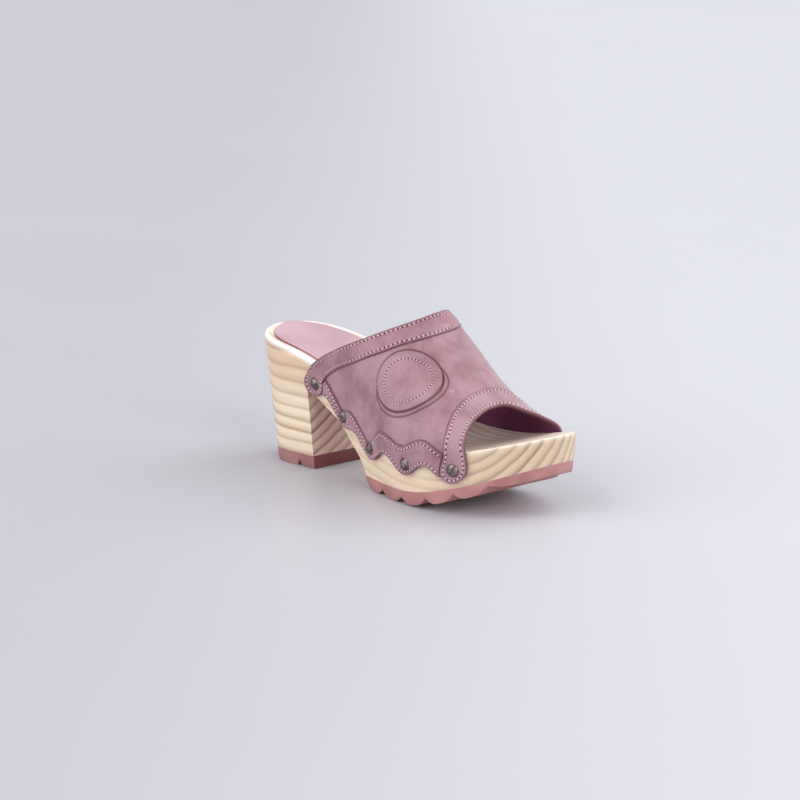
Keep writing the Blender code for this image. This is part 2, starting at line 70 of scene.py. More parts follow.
# Painted highlight along the wood's rim: how far it reaches from the edge, and where along the shoe it fades
RIM_HIGHLIGHT_FROM = 1.0
RIM_HIGHLIGHT_IN = 3.5
RIM_HIGHLIGHT_DOWN = 2.5
RIM_HIGHLIGHT_FADES_FROM = 90.0
RIM_HIGHLIGHT_FADES_OVER = 60.0
RIM_HIGHLIGHT_LEAST = 0.2

# Leather and nails
PAD = 1.8
PAD_INSET = 6.5
PAD_FRONT = 128.0
PAD_ROUND = 0.9
PAD_PUFF = 0.5
DENTS = 0.35
DENTS_REACH = 7.0
RIPPLES = 0.2
NAIL_RADIUS = 4.0
NAIL_SIDES = 36
NAIL_LEAN = 0.05
GOLDEN_TURN = 2.4
SEAT_RADIUS = 3.6
SEAT_REACH = 2.2
SEAT_DEPTH = 0.45
REAR_NAIL = 0
FRONT_NAIL = 4
REAR_LOBE = 9.2
REAR_SQUAT = 0.89
REAR_BACK = 1.3
REAR_LEAN = 0.38
TOE_LOBE = 8.3
TOE_LOBE_TURN = 30.0
DIP_BACK = 2.0
BUTT = 0.25
BAND_CORNER = 2.0
BAND_OVERLAP = 1.1
BAND_ENDS = slice(3, -3)

# Heights over the last: the vamp, the strips on it, and the nails on those
VAMP_UNDER = 0.2
VAMP_OVER = 1.5
STRIP_UNDER = 1.55
STRIP_OVER = 2.6
PATCH_OVER = 2.8
THINNEST = 0.3
NAIL_UNDER = 2.25

# Layers in the vamp's cut edge: height over the last, and how far each is drawn in
VAMP_LAYERS = ((0.75, 0.0), (0.85, 0.22), (0.95, 0.0))

# Cut edges and stitching
EDGE_ROUND = 0.3
STITCH_IN = 1.9
PITCH = 2.85
THREAD = 0.21
STITCH_SIDES = 8
STITCH_SLANT = 0.16
# HOLE and HOLE_DARK are the outer and inner radius of each stitch hole's pit, which is also painted dark as
# shade
HOLE = 0.8
HOLE_DARK = 0.4
HOLE_DEPTH = 0.75
SEAM_DEPTH = 0.12
SEAM_WIDTH = 0.8
PUFF = 0.12
PUFF_REACH = 4.0
RELIEF_IN = 2.0
TUCK = 0.35
TUCK_FROM = 1.0
TUCK_REACH = 6.0

# Oval patch, with the lines of painted shade beside it: near its edge, above it, and along the furrow below
# it
PATCH_AT = (157.5, -36.8)
PATCH_SIZE = (21.5, 19.0)
PATCH_STITCH_IN = 5.6
PATCH_STITCHING = 0.77
PATCH_PUFF = -0.35
PATCH_ROUND = 0.9
PATCH_PALER = 0.3
PATCH_SHADE = 0.6
PATCH_SHADE_ABOVE = 1.5
PATCH_LINE = 3.3
PATCH_TURN_FROM = 14.0
PATCH_TURN_OVER = 20.0

# Pressed round the patch, a trough, a hollow above it, a bank and a furrow below: height, distance from
# the patch as a part of PATCH_LINE, distance beyond that, width
PATCH_PRESSED = (
    (-0.80, 0.0, 0.5, 0.7),
    (-0.50, 0.0, 1.5, 2.2),
    (0.55, 0.6, 0.0, 0.8),
    (-0.55, 1.0, 0.2, 0.7),
)

# Spacing of the leather's mesh points
OUTLINE_STEP = 0.75
STRIP_GRID = 1.25
PATCH_GRID = 1.1
VAMP_GRID = 1.3
EDGE_RINGS = (0.27, 0.6, 1.0)
EDGE_BORDER = 0.9
EDGE_BORDER_ROUND = 1.6
RING_CLEAR = 0.85
HOLE_CLEAR = 1.3
HOLE_RING_POINTS = (6, 8, 10)
FINE_RINGS = np.arange(-0.4, 5.2, 0.4)
FINE_CLEAR = 0.6

FLAT = 70.0
PLACE = np.array([-124.85, 2.0, 0.0])
OUTER = -1
INNER = 1
SIDES = ((OUTER, "outer"), (INNER, "inner"))


def table(names, rows):
    """Columns of a short table, by name."""
    return dict(zip(names.split(), np.array(rows, float).T))


# Plan of the footbed's edge, round from the back along the outer side: parts of LENGTH and BALL_WIDTH
OUTLINE = table("along aside", [
    (0.000, 0.017), (0.024, -0.183), (0.096, -0.345), (0.200, -0.358),
    (0.340, -0.353), (0.481, -0.414), (0.621, -0.493), (0.741, -0.517),
    (0.849, -0.448), (0.933, -0.286), (0.984, -0.050), (1.000, 0.119),
    (0.979, 0.297), (0.921, 0.417), (0.841, 0.470), (0.741, 0.483),
    (0.621, 0.433), (0.481, 0.343), (0.340, 0.350), (0.200, 0.374),
    (0.096, 0.331), (0.024, 0.209),
])

# Height of the footbed's edge, in parts of HEEL_HEIGHT, and how deep the footbed is dished
RIM = table("along height dish", [
    (0.000, 1.000, 0.0),
    (0.120, 0.953, 3.6),
    (0.240, 0.878, 3.8),
    (0.360, 0.738, 2.6),
    (0.481, 0.555, 1.8),
    (0.601, 0.438, 1.6),
    (0.721, 0.416, 1.6),
    (0.841, 0.470, 1.4),
    (0.993, 0.588, 0.0),
])

# Underside of the wood behind the ball, in parts of HEEL_HEIGHT
ARCH = table("along height", [
    (0.244, 0.654),
    (0.300, 0.546),
    (0.381, 0.418),
    (0.437, 0.276),
    (0.469, 0.191),
    (0.487, 0.105),
])

# Rise of the forefoot's underside towards the toe
TOE_SPRING = table("along rise", [
    (0.487, 0.0),
    (0.560, 0.0),
    (0.632, 0.0),
    (0.721, 2.4),
    (0.789, 6.3),
    (0.861, 11.5),
    (1.000, 25.0),
])

# Lugs across the forefoot: where each starts
LUG_NOTCHES = np.array([0.487, 0.564, 0.650, 0.741, 0.823, 0.898, 1.060]) * LENGTH

# Crown of the upper over the footbed's edge, in parts of INSTEP_HEIGHT, its shift to the inner side,
# and how far each half of the section is fuller than an ellipse
CROWN = table("along rise aside full_outer full_inner", [
    (0.240, 1.522, 7.6, 0.000, 0.000),
    (0.400, 1.211, 7.6, 0.000, 0.000),
    (0.553, 1.015, 7.6, -0.030, 0.064),
    (0.681, 0.674, 7.2, 0.010, 0.023),
    (0.813, 0.262, 6.7, 0.060, -0.017),
    (0.901, 0.068, 6.7, 0.060, -0.017),
])

# Lines of the upper, parts of LENGTH, from the crown (across = 0) down to the footbed's edge (across = 1)
LINES = table("across collar collar_inner collar_front collar_front_inner toe_rear toe toe_inner", [
    (0.00, 0.570, 0.570, 0.614, 0.614, 0.752, 0.799, 0.799),
    (0.10, 0.569, 0.562, 0.614, 0.606, 0.752, 0.799, 0.802),
    (0.20, 0.559, 0.544, 0.606, 0.586, 0.754, 0.801, 0.809),
    (0.30, 0.539, 0.517, 0.589, 0.560, 0.757, 0.806, 0.817),
    (0.40, 0.511, 0.486, 0.563, 0.530, 0.764, 0.812, 0.826),
    (0.50, 0.479, 0.453, 0.533, 0.498, 0.771, 0.819, 0.832),
    (0.60, 0.443, 0.419, 0.496, 0.464, 0.780, 0.827, 0.838),
    (0.70, 0.405, 0.384, 0.459, 0.430, 0.791, 0.836, 0.846),
    (0.85, 0.345, 0.332, 0.396, 0.381, 0.806, 0.851, 0.856),
    (1.00, 0.280, 0.280, 0.337, 0.337, 0.812, 0.863, 0.866),
])

# Nails along one side: place, depth below the footbed's edge, depth of the side band's lobe below the nail
# and of its dip above it, then the hump of the band's two edges on the way to the next nail
NAILS = table("along depth lobe dip hump_along hump_low hump_high", [
    (0.288, 11.5, 19.1, 10.8, 0.325, 14.4, 2.3),
    (0.405, 13.6, 20.9, 10.8, 0.461, 14.6, 3.7),
    (0.533, 12.4, 20.1, 9.8, 0.606, 7.2, -4.5),
    (0.689, 7.4, 14.4, -2.7, 0.755, 6.6, -8.5),
    (0.833, 9.8, 18.1, 1.3, 0.833, 9.8, 1.3),
])

# Turned profile of a nail head: parts of its radius, and height
NAIL_PROFILE = table("radius height", [
    (1.00, 0.00), (1.02, 0.20), (0.99, 0.42), (0.93, 0.66), (0.84, 1.02), (0.70, 1.48), (0.52, 1.88),
    (0.32, 2.12), (0.14, 2.22),
])

# Thread of one stitch: places along it, with its lift off the leather there
STITCH = table("along lift", [
    (0.17, -0.70), (0.21, -0.28), (0.29, 0.00), (0.40, 0.10), (0.60, 0.10), (0.71, 0.00), (0.79, -0.28),
    (0.83, -0.70),
])

# Soft swells of the vamp: wavelength, direction in degrees on the pattern, height, phase
SWELLS = table("wave turn height phase", [
    (64.0, 25.0, 0.16, 0.4),
    (41.0, 118.0, 0.12, 2.1),
    (27.0, 71.0, 0.06, 4.0),
    (18.0, 160.0, 0.03, 1.2),
])

# Creases of the vamp on the pattern: middle, direction in degrees, half length, width, depth
CREASES = table("along across turn half width depth", [
    (137.0, -47.0, 24.0, 9.0, 1.4, 0.28),
    (146.0, -51.0, 12.0, 7.0, 1.2, 0.22),
    (131.0, -30.0, 60.0, 11.0, 1.6, 0.20),
    (183.0, -22.0, 100.0, 12.0, 2.0, 0.22),
    (176.0, -58.0, 40.0, 9.0, 1.8, 0.20),
    (116.0, -58.0, 75.0, 10.0, 1.8, 0.22),
    (150.0, 30.0, 70.0, 14.0, 2.2, 0.25),
    (168.0, 48.0, 100.0, 12.0, 2.0, 0.22),
    (128.0, 52.0, 60.0, 12.0, 1.8, 0.22),
])


def unit(vectors):
    """Vectors made one long."""
    return vectors / np.linalg.norm(vectors, axis=-1, keepdims=True)


def dot(first, second):
    """Products of rows of vectors."""
    return (first * second).sum(axis=1)


def bell(value, middle, width):
    """Rounded hill, one high."""
    return np.exp(-((value - middle) / width)**2)


def ease(start, end, part):
    """Rounded step between two values."""
    return start + (end - start) * (1 - np.cos(np.pi * np.clip(part, 0, 1))) / 2


def quarter_turn(count):
    """Angles over a quarter turn."""
    return np.linspace(0, np.pi / 2, count)


def full_turn(count):
    """Angles of corners round a full turn."""
    return np.arange(count) * 2 * np.pi / count


def spline(knots, values):
    """Natural cubic curve through the values at the knots."""
    knots = np.asarray(knots, float)
    values = np.asarray(values, float)
    step = np.diff(knots)
    count = len(knots)
    system = np.eye(count)
    right = np.zeros_like(values)
    for i in range(1, count - 1):
        system[i, i - 1:i + 2] = step[i - 1], 2 * (step[i - 1] + step[i]), step[i]
        right[i] = 6 * ((values[i + 1] - values[i]) / step[i] - (values[i] - values[i - 1]) / step[i - 1])
    bend = np.linalg.solve(system, right)

    def curve(at):
        """The curve's values at any places."""
        at = np.asarray(at, float)
        i = np.clip(np.searchsorted(knots, at) - 1, 0, count - 2)
        shape = at.shape + (1,) * (values.ndim - 1)
        width = step[i].reshape(shape)
        back = ((knots[i + 1] - at) / step[i]).reshape(shape)
        ahead = ((at - knots[i]) / step[i]).reshape(shape)
        straight = back * values[i] + ahead * values[i + 1]
        return straight + ((back**3 - back) * bend[i] + (ahead**3 - ahead) * bend[i + 1]) * width**2 / 6

    return curve


rim_height = spline(RIM["along"] * LENGTH, RIM["height"] * HEEL_HEIGHT)
dish_depth = spline(RIM["along"] * LENGTH, RIM["dish"])
arch_height = spline(ARCH["along"] * LENGTH, ARCH["height"] * HEEL_HEIGHT)
toe_spring = spline(TOE_SPRING["along"] * LENGTH, TOE_SPRING["rise"])
crown_rise = spline(CROWN["along"] * LENGTH, CROWN["rise"] * INSTEP_HEIGHT)
crown_aside = spline(CROWN["along"] * LENGTH, CROWN["aside"])
fullness = {
    OUTER: spline(CROWN["along"] * LENGTH, CROWN["full_outer"]),
    INNER: spline(CROWN["along"] * LENGTH, CROWN["full_inner"]),
}
line = {name: spline(LINES["across"], LINES[name] * LENGTH) for name in LINES if name != "across"}


def plan_sides(samples=6000):
    """The footbed's edge as two dense lines from heel to toe, outer and inner, with inward normals."""
    rows = np.stack([OUTLINE["along"] * LENGTH, OUTLINE["aside"] * BALL_WIDTH], axis=1)
    wrap = 5
    around = np.vstack([rows[-wrap:], rows, rows[:wrap + 1]])
    chords = np.sqrt(np.linalg.norm(np.diff(around, axis=0), axis=1))
    knots = np.concatenate([[0], np.cumsum(chords)])
    dense = spline(knots, around)(np.linspace(knots[wrap], knots[wrap + len(rows)], samples + 1)[:-1])
    dense = np.roll(dense, -np.argmin(dense[:, 0]), axis=0)
    ahead = unit(np.roll(dense, -1, axis=0) - np.roll(dense, 1, axis=0))
    inward = np.stack([-ahead[:, 1], ahead[:, 0]], axis=1)
    toe = np.argmax(dense[:, 0])
    both = np.hstack([dense, inward])
    inner = np.vstack([both[toe:], both[:1]])[::-1]
    return {OUTER: both[:toe + 1], INNER: inner}


PLAN = plan_sides()
TIP = PLAN[OUTER][-1, 0]


def edge(side, x, inset=0.0):
    """Plan points of one side at stations x, moved in by inset."""
    rows = PLAN[side]
    y, normal_x, normal_y = (np.interp(x, rows[:, 0], rows[:, k]) for k in (1, 2, 3))
    return np.stack([x + normal_x * inset, y + normal_y * inset], axis=-1)


def wood_side(side, x, depth):
    """Points on the side of the wood, depth below the footbed's edge."""
    return np.concatenate([edge(side, x, DRAFT * depth), (rim_height(x) - depth)[..., None]], axis=-1)


def footbed(x, y):
    """Height of the dished top of the wood."""
    outer = edge(OUTER, x)[..., 1]
    inner = edge(INNER, x)[..., 1]
    half = np.maximum((inner - outer) / 2 - RIM_ROUND, 1.0)
    aside = np.clip((y - (inner + outer) / 2) / half, -1, 1)
    return rim_height(x) - dish_depth(x) * (1 - aside**2)


def underside(x):
    """Height of the wood's underside in front of the heel."""
    ahead = RUBBER + WOOD_GAP + np.maximum(toe_spring(x), 0)
    return np.where(x < BALL_EDGE, arch_height(x), ahead)


def tread(x):
    """Height of the forefoot's walking face: rounded lugs that meet in sharp notches."""
    thinning = np.interp(x, [THINS_FROM, LENGTH], [0, RUBBER - TOE_RUBBER])
    base = np.maximum(toe_spring(x), 0) + thinning
    i = np.clip(np.searchsorted(LUG_NOTCHES, x, side="right") - 1, 0, len(LUG_NOTCHES) - 2)
    from_middle = np.abs(2 * (x - LUG_NOTCHES[i]) / (LUG_NOTCHES[i + 1] - LUG_NOTCHES[i]) - 1)
    shoulder = np.clip((from_middle - LUG_FLAT) / (1 - LUG_FLAT), 0, 1)
    return base + LUG_DEPTH * shoulder**2


def section(side, x, turn):
    """Point of the upper's cross-section: turn 0 at the footbed's edge, a quarter turn at the crown."""
    aside = crown_aside(x)
    half = np.abs(edge(side, x)[..., 1] - aside)
    full = 1 + fullness[side](x) * np.sin(2 * turn)**2
    up = crown_rise(x) * np.sin(turn) * full
    out = half * np.cos(turn) * full + DRAFT * up * (1 - np.sin(turn))**2
    return aside + side * out, rim_height(x) + up


def last_surface(flat):
    """Wrap flat pattern points over the last.

    A pattern point is (x, across): across runs from the crown to FLAT at the footbed's edge, negative on
    the outer side, and then counts millimetres down the side of the wood.
    """
    points = np.empty((len(flat), 3))
    turns = quarter_turn(49)
    for side in (OUTER, INNER):
        mine = (flat[:, 1] < 0) == (side == OUTER)
        x = flat[mine, 0]
        across = np.abs(flat[mine, 1])
        y, z = section(side, x[:, None], turns)
        steps = np.hypot(np.diff(y, axis=1), np.diff(z, axis=1))
        length = np.hstack([np.zeros((len(x), 1)), np.cumsum(steps, axis=1)])
        climb = np.clip(1 - across / FLAT, 0, 1) * length[:, -1]
        i = np.clip((length < climb[:, None]).sum(axis=1) - 1, 0, len(turns) - 2)
        row = np.arange(len(x))
        part = (climb - length[row, i]) / (length[row, i + 1] - length[row, i])
        y, z = section(side, x, turns[i] + part * (turns[1] - turns[0]))
        on_wood = wood_side(side, x, np.maximum(across - FLAT, 0))
        points[mine] = np.where((across > FLAT)[:, None], on_wood, np.stack([x, y, z], axis=1))
    return points


def tangents(flat):
    """How the last runs at pattern points: one pattern step along, one across, and the outward normal."""
    reach = 0.4
    along = (last_surface(flat + [reach, 0]) - last_surface(flat - [reach, 0])) / (2 * reach)
    across = (last_surface(flat + [0, reach]) - last_surface(flat - [0, reach])) / (2 * reach)
    normal = np.cross(along, across)
    return along, across, unit(normal)


def lifted(flat, lift):
    """Pattern points wrapped over the last and raised off it by lift."""
    return last_surface(flat) + tangents(flat)[2] * np.reshape(lift, (-1, 1))


def moved(flat, step):
    """Pattern points moved over the last by steps in space."""
    along, across, _ = tangents(flat)
    long = dot(along, along)
    wide = dot(across, across)
    skew = dot(along, across)
    ahead = dot(step, along)
    aside = dot(step, across)
    flat_step = np.stack([wide * ahead - skew * aside, long * aside - skew * ahead], axis=1)
    return flat + flat_step / (long * wide - skew * skew)[:, None]


def directions(path, closed):
    """Unit directions along a pattern path, as it runs over the last."""
    place = last_surface(path)
    if closed:
        ahead = np.roll(place, -1, axis=0) - np.roll(place, 1, axis=0)
    else:
        ahead = np.gradient(place, axis=0)
    return unit(ahead)


def inset(path, distance, closed=True):
    """A pattern path moved to its left over the last, which is inwards on an outline."""
    left = np.cross(tangents(path)[2], directions(path, closed))
    return moved(path, left * distance)


def even(path, spacing, closed=True):
    """The path with points at even distances over the last."""
    ring = np.vstack([path, path[:1]]) if closed else path
    steps = np.linalg.norm(np.diff(last_surface(ring), axis=0), axis=1)
    gone = np.concatenate([[0], np.cumsum(steps)])
    count = max(int(round(gone[-1] / spacing)), 3)
    at = np.linspace(0, gone[-1], count + 1)
    found = np.stack([np.interp(at, gone, ring[:, k]) for k in (0, 1)], axis=1)
    return found[:-1] if closed else found


def tree(points):
    """Search tree over points in space."""
    made = kdtree.KDTree(len(points))
    for i, point in enumerate(points):
        made.insert(point, i)
    made.balance()
    return made


def tree_over(flat):
    """Search tree over pattern points wrapped on the last."""
    return tree(last_surface(flat))


def gaps(found, points):
    """Distance of each point from the nearest one in a search tree."""
    return np.array([found.find(point)[2] for point in points])


def clear_of(found, flat, distance):
    """Those pattern points that are further than a distance from all in a search tree."""
    return flat[gaps(found, last_surface(flat)) > distance]


def within(outline, points):
    """Which pattern points lie inside an outline."""
    crossings = np.zeros(len(points), int)
    x, across = points.T
    for (x0, across0), (x1, across1) in zip(outline, np.roll(outline, -1, axis=0)):
        if across0 != across1:
            span = (across < across0) != (across < across1)
            crossings += span & (x < x0 + (across - across0) * (x1 - x0) / (across1 - across0))
    return crossings % 2 == 1


def lattice(outline, spacing):
    """Staggered grid of pattern points over an outline's box."""
    low = outline.min(axis=0)
    high = outline.max(axis=0)
    rows = np.arange(low[1], high[1], 0.87 * spacing)
    columns = np.arange(low[0], high[0], spacing)
    x = columns[None, :] + spacing * (0.25 + 0.5 * (np.arange(len(rows))[:, None] % 2))
    return np.stack([x.ravel(), np.repeat(rows, len(columns))], axis=1)


def placed(points):
    """Millimetres from the back of the heel as metres in the frame."""
    return (np.asarray(points) + PLACE) / 1000


def linked(name, data):
    """A new object in the scene."""
    made = bpy.data.objects.new(name, data)
    bpy.context.scene.collection.objects.link(made)
    return made


def piece(name, points, faces, stuffs, stands_for=(), slots=None, values=None, sharp=40):
    """One visible piece on the body, with its materials, its finish and the solids that it stands for."""
    mesh = bpy.data.meshes.new(name)
    mesh.from_pydata(placed(points).tolist(), [], faces)
    for stuff in stuffs:
        mesh.materials.append(stuff)
    if slots is not None:
        mesh.polygons.foreach_set("material_index", np.asarray(slots, np.int32))
    for key, value in (values or {}).items():
        mesh.attributes.new(key, "FLOAT", "POINT").data.foreach_set("value", np.asarray(value, np.float32))
    mesh.shade_smooth()
    mesh.set_sharp_from_angle(angle=np.radians(sharp))
    made = linked(name, mesh)
    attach(made, "root")
    if stands_for:
        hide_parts(*stands_for)


def welded(polygons):
    """Shared points and faces of polygons: equal points become one, flattened corners are dropped."""
    numbers = {}
    faces = []
    for polygon in polygons:
        keys = [tuple(np.round(point, 3) + 0.0) for point in polygon]
        ids = [numbers.setdefault(key, len(numbers)) for key in keys]
        ids = [n for n, before in zip(ids, ids[-1:] + ids[:-1]) if n != before]
        if len(set(ids)) > 2:
            faces.append(ids)
    return np.array(list(numbers)), faces


def strips(first, second):
    """Quads between two rows of points."""
    return [(first[i], first[i + 1], second[i + 1], second[i]) for i in range(len(first) - 1)]


def skin(rows):
    """Quads over rows of points."""
    return [quad for i in range(len(rows) - 1) for quad in strips(rows[i], rows[i + 1])]


def flipped(polygons):
    """The same polygons, facing the other way."""
    return [polygon[::-1] for polygon in polygons]


def rows_across(x, inset_by, height, columns, front=None, back=None, square=None):
    """Rows of points from the outer to the inner side, straight at a named end or row number."""
    outer = edge(OUTER, x, inset_by)
    inner = edge(INNER, x, inset_by)
    if square is not None:
        outer[square, 0] = inner[square, 0] = x[square]
    if front is None:
        inner[-1] = outer[-1]
    else:
        outer[-1, 0] = inner[-1, 0] = front
    if back is None:
        inner[0] = outer[0]
    else:
        outer[0, 0] = inner[0, 0] = back
    part = np.linspace(0, 1, columns)[None, :, None]
    plan = outer[:, None] * (1 - part) + inner[:, None] * part
    return np.concatenate([plan, height(plan[..., 0], plan[..., 1])[..., None]], axis=-1)


def loop(rows):
    """The rim of rows of points, round the shoe and back to its start."""
    return np.vstack([rows[:, 0], rows[-1, 1:-1], rows[::-1, -1], rows[0, -2:0:-1], rows[:1, 0]])


# Pattern outlines of the leather pieces


def arc(nail, radius, start, end, count):
    """Pattern points round a nail, angles in degrees from straight ahead towards the floor."""
    turn = np.radians(np.linspace(start, end, count))
    ahead = radius * np.cos(turn)
    down = radius * np.sin(turn)
    if nail == REAR_NAIL:
        ahead = ahead - REAR_BACK
        down = REAR_SQUAT * down - REAR_LEAN * ahead
    return np.stack([NAILS["along"][nail] * LENGTH + ahead, FLAT + NAILS["depth"][nail] + down], axis=1)


def edge_line(side, name, start, end, count):
    """Pattern points on one of the upper's lines between two places across."""
    across = np.linspace(start, end, count)
    own = name + "_inner" if side == INNER and name + "_inner" in line else name
    return np.stack([line[own](across), FLAT * across], axis=1)


def wave(x, low):
    """Depth of the side band's lower or upper edge: round lobes below the nails, tighter dips above."""
    nails = NAILS["along"] * LENGTH
    humps = NAILS["hump_along"] * LENGTH
    if low:
        turn = np.radians(TOE_LOBE_TURN)
        nails = np.append(nails[:-1] - DIP_BACK, nails[-1] - TOE_LOBE * np.cos(turn))
        lobes = np.append(NAILS["lobe"][:-1], NAILS["depth"][-1] + TOE_LOBE * np.sin(turn))
        tops = NAILS["hump_low"]
    else:
        nails = nails - DIP_BACK
        humps = humps - DIP_BACK
        lobes = NAILS["dip"]
        tops = NAILS["hump_high"]
    i = np.clip(np.searchsorted(nails, x, side="right") - 1, 0, len(nails) - 2)
    rising = x < humps[i]
    bottom = np.where(rising, lobes[i], lobes[i + 1])
    from_nail = np.where(rising, nails[i], nails[i + 1])
    part = np.clip((x - from_nail) / (humps[i] - from_nail), 0, 1)
    if low:
        return ease(bottom, tops[i], part)
    cusped = bottom + (tops[i] - bottom) * np.sin(np.pi / 2 * part)
    return (cusped + ease(bottom, tops[i], part)) / 2


def wave_line(start, end, count, low):
    """Pattern points on one edge of the side band."""
    x = np.linspace(start, end, count)
    return np.stack([x, FLAT + wave(x, low)], axis=1)


def both_sides(half):
    """A closed outline from its two halves, which start and end on the crown."""
    return np.vstack([half(INNER), (half(OUTER) * [1, -1])[-2:0:-1]])


def vamp_outline():
    """The vamp's cut: collar, rear lobe, wavy foot, front lobe and toe."""
    first_hump = NAILS["hump_along"][0] * LENGTH
    toe_lobe_start = NAILS["along"][-1] * LENGTH - 0.9 * TOE_LOBE
    return both_sides(lambda side: np.vstack([
        edge_line(side, "collar", 0, 1, 160),
        arc(REAR_NAIL, REAR_LOBE, 200, 50, 30),
        wave_line(first_hump, toe_lobe_start, 260, low=True),
        arc(FRONT_NAIL, TOE_LOBE, 145, -5, 30),
        edge_line(side, "toe", 1, 0, 120),
    ]))


def collar_outline():
    """Strip round the collar, with a lobe round the rearmost nail of each side."""
    return both_sides(lambda side: np.vstack([
        edge_line(side, "collar_front", 0, 1, 160),
        arc(REAR_NAIL, REAR_LOBE, -15, 200, 56),
        edge_line(side, "collar", 1, 0, 160),
    ]))


def toe_outline():
    """Strip round the toe opening, with a lobe round the front nail of each side."""
    return both_sides(lambda side: np.vstack([
        edge_line(side, "toe_rear", 0, 1, 120),
        arc(FRONT_NAIL, TOE_LOBE, 185, -5, 40),
        edge_line(side, "toe", 1, 0, 120),
    ]))


def side_lines(side):
    """Outline of the wavy side strip, and its upper and lower edges by themselves."""
    rear = arc(REAR_NAIL, REAR_LOBE + BUTT, 35, -10, 16)
    front = arc(FRONT_NAIL, TOE_LOBE + BUTT, 185, 155, 10)
    start = line["collar_front"](1.0) - BAND_OVERLAP
    end = line["toe_rear"](1.0) - 2 * BUTT
    high = wave_line(start, end, 260, low=False)
    low = wave_line(rear[0, 0] + BAND_CORNER, front[-1, 0] - BAND_CORNER, 240, low=True)
    outline = np.vstack([rear, high, front, low[::-1]])
    return outline * [1, side], high * [1, side], low * [1, side]


def disc(centre, size, count):
    """Pattern points of an oval that has its true size as seen straight on to the last."""
    centre = np.array([centre])
    middle = last_surface(centre)
    along, across, _ = tangents(centre)
    first = along[0] / np.linalg.norm(along)
    second = across[0] - (across[0] @ first) * first
    facing = np.stack([first, second / np.linalg.norm(second)], axis=1)
    to_flat = np.linalg.inv(facing.T @ np.stack([along[0], across[0]], axis=1)).T
    turn = np.linspace(0, 2 * np.pi, count, endpoint=False)
    circle = np.stack([np.cos(turn), np.sin(turn)], axis=1) * size
    flat = centre + circle @ to_flat
    damping = 0.7
    rounds = 6
    for _ in range(rounds):
        flat = flat + damping * (circle - (last_surface(flat) - middle) @ facing) @ to_flat
    return flat


def nail_spots(side):
    """Pattern points of one side's nails."""
    return np.stack([NAILS["along"] * LENGTH, side * (FLAT + NAILS["depth"])], axis=1)


def anticlockwise(outline):
    """The outline, run so that its inside is on the left."""
    x, across = outline.T
    area = (x * np.roll(across, -1) - across * np.roll(x, -1)).sum()
    return outline if area > 0 else outline[::-1]


# Leather pieces


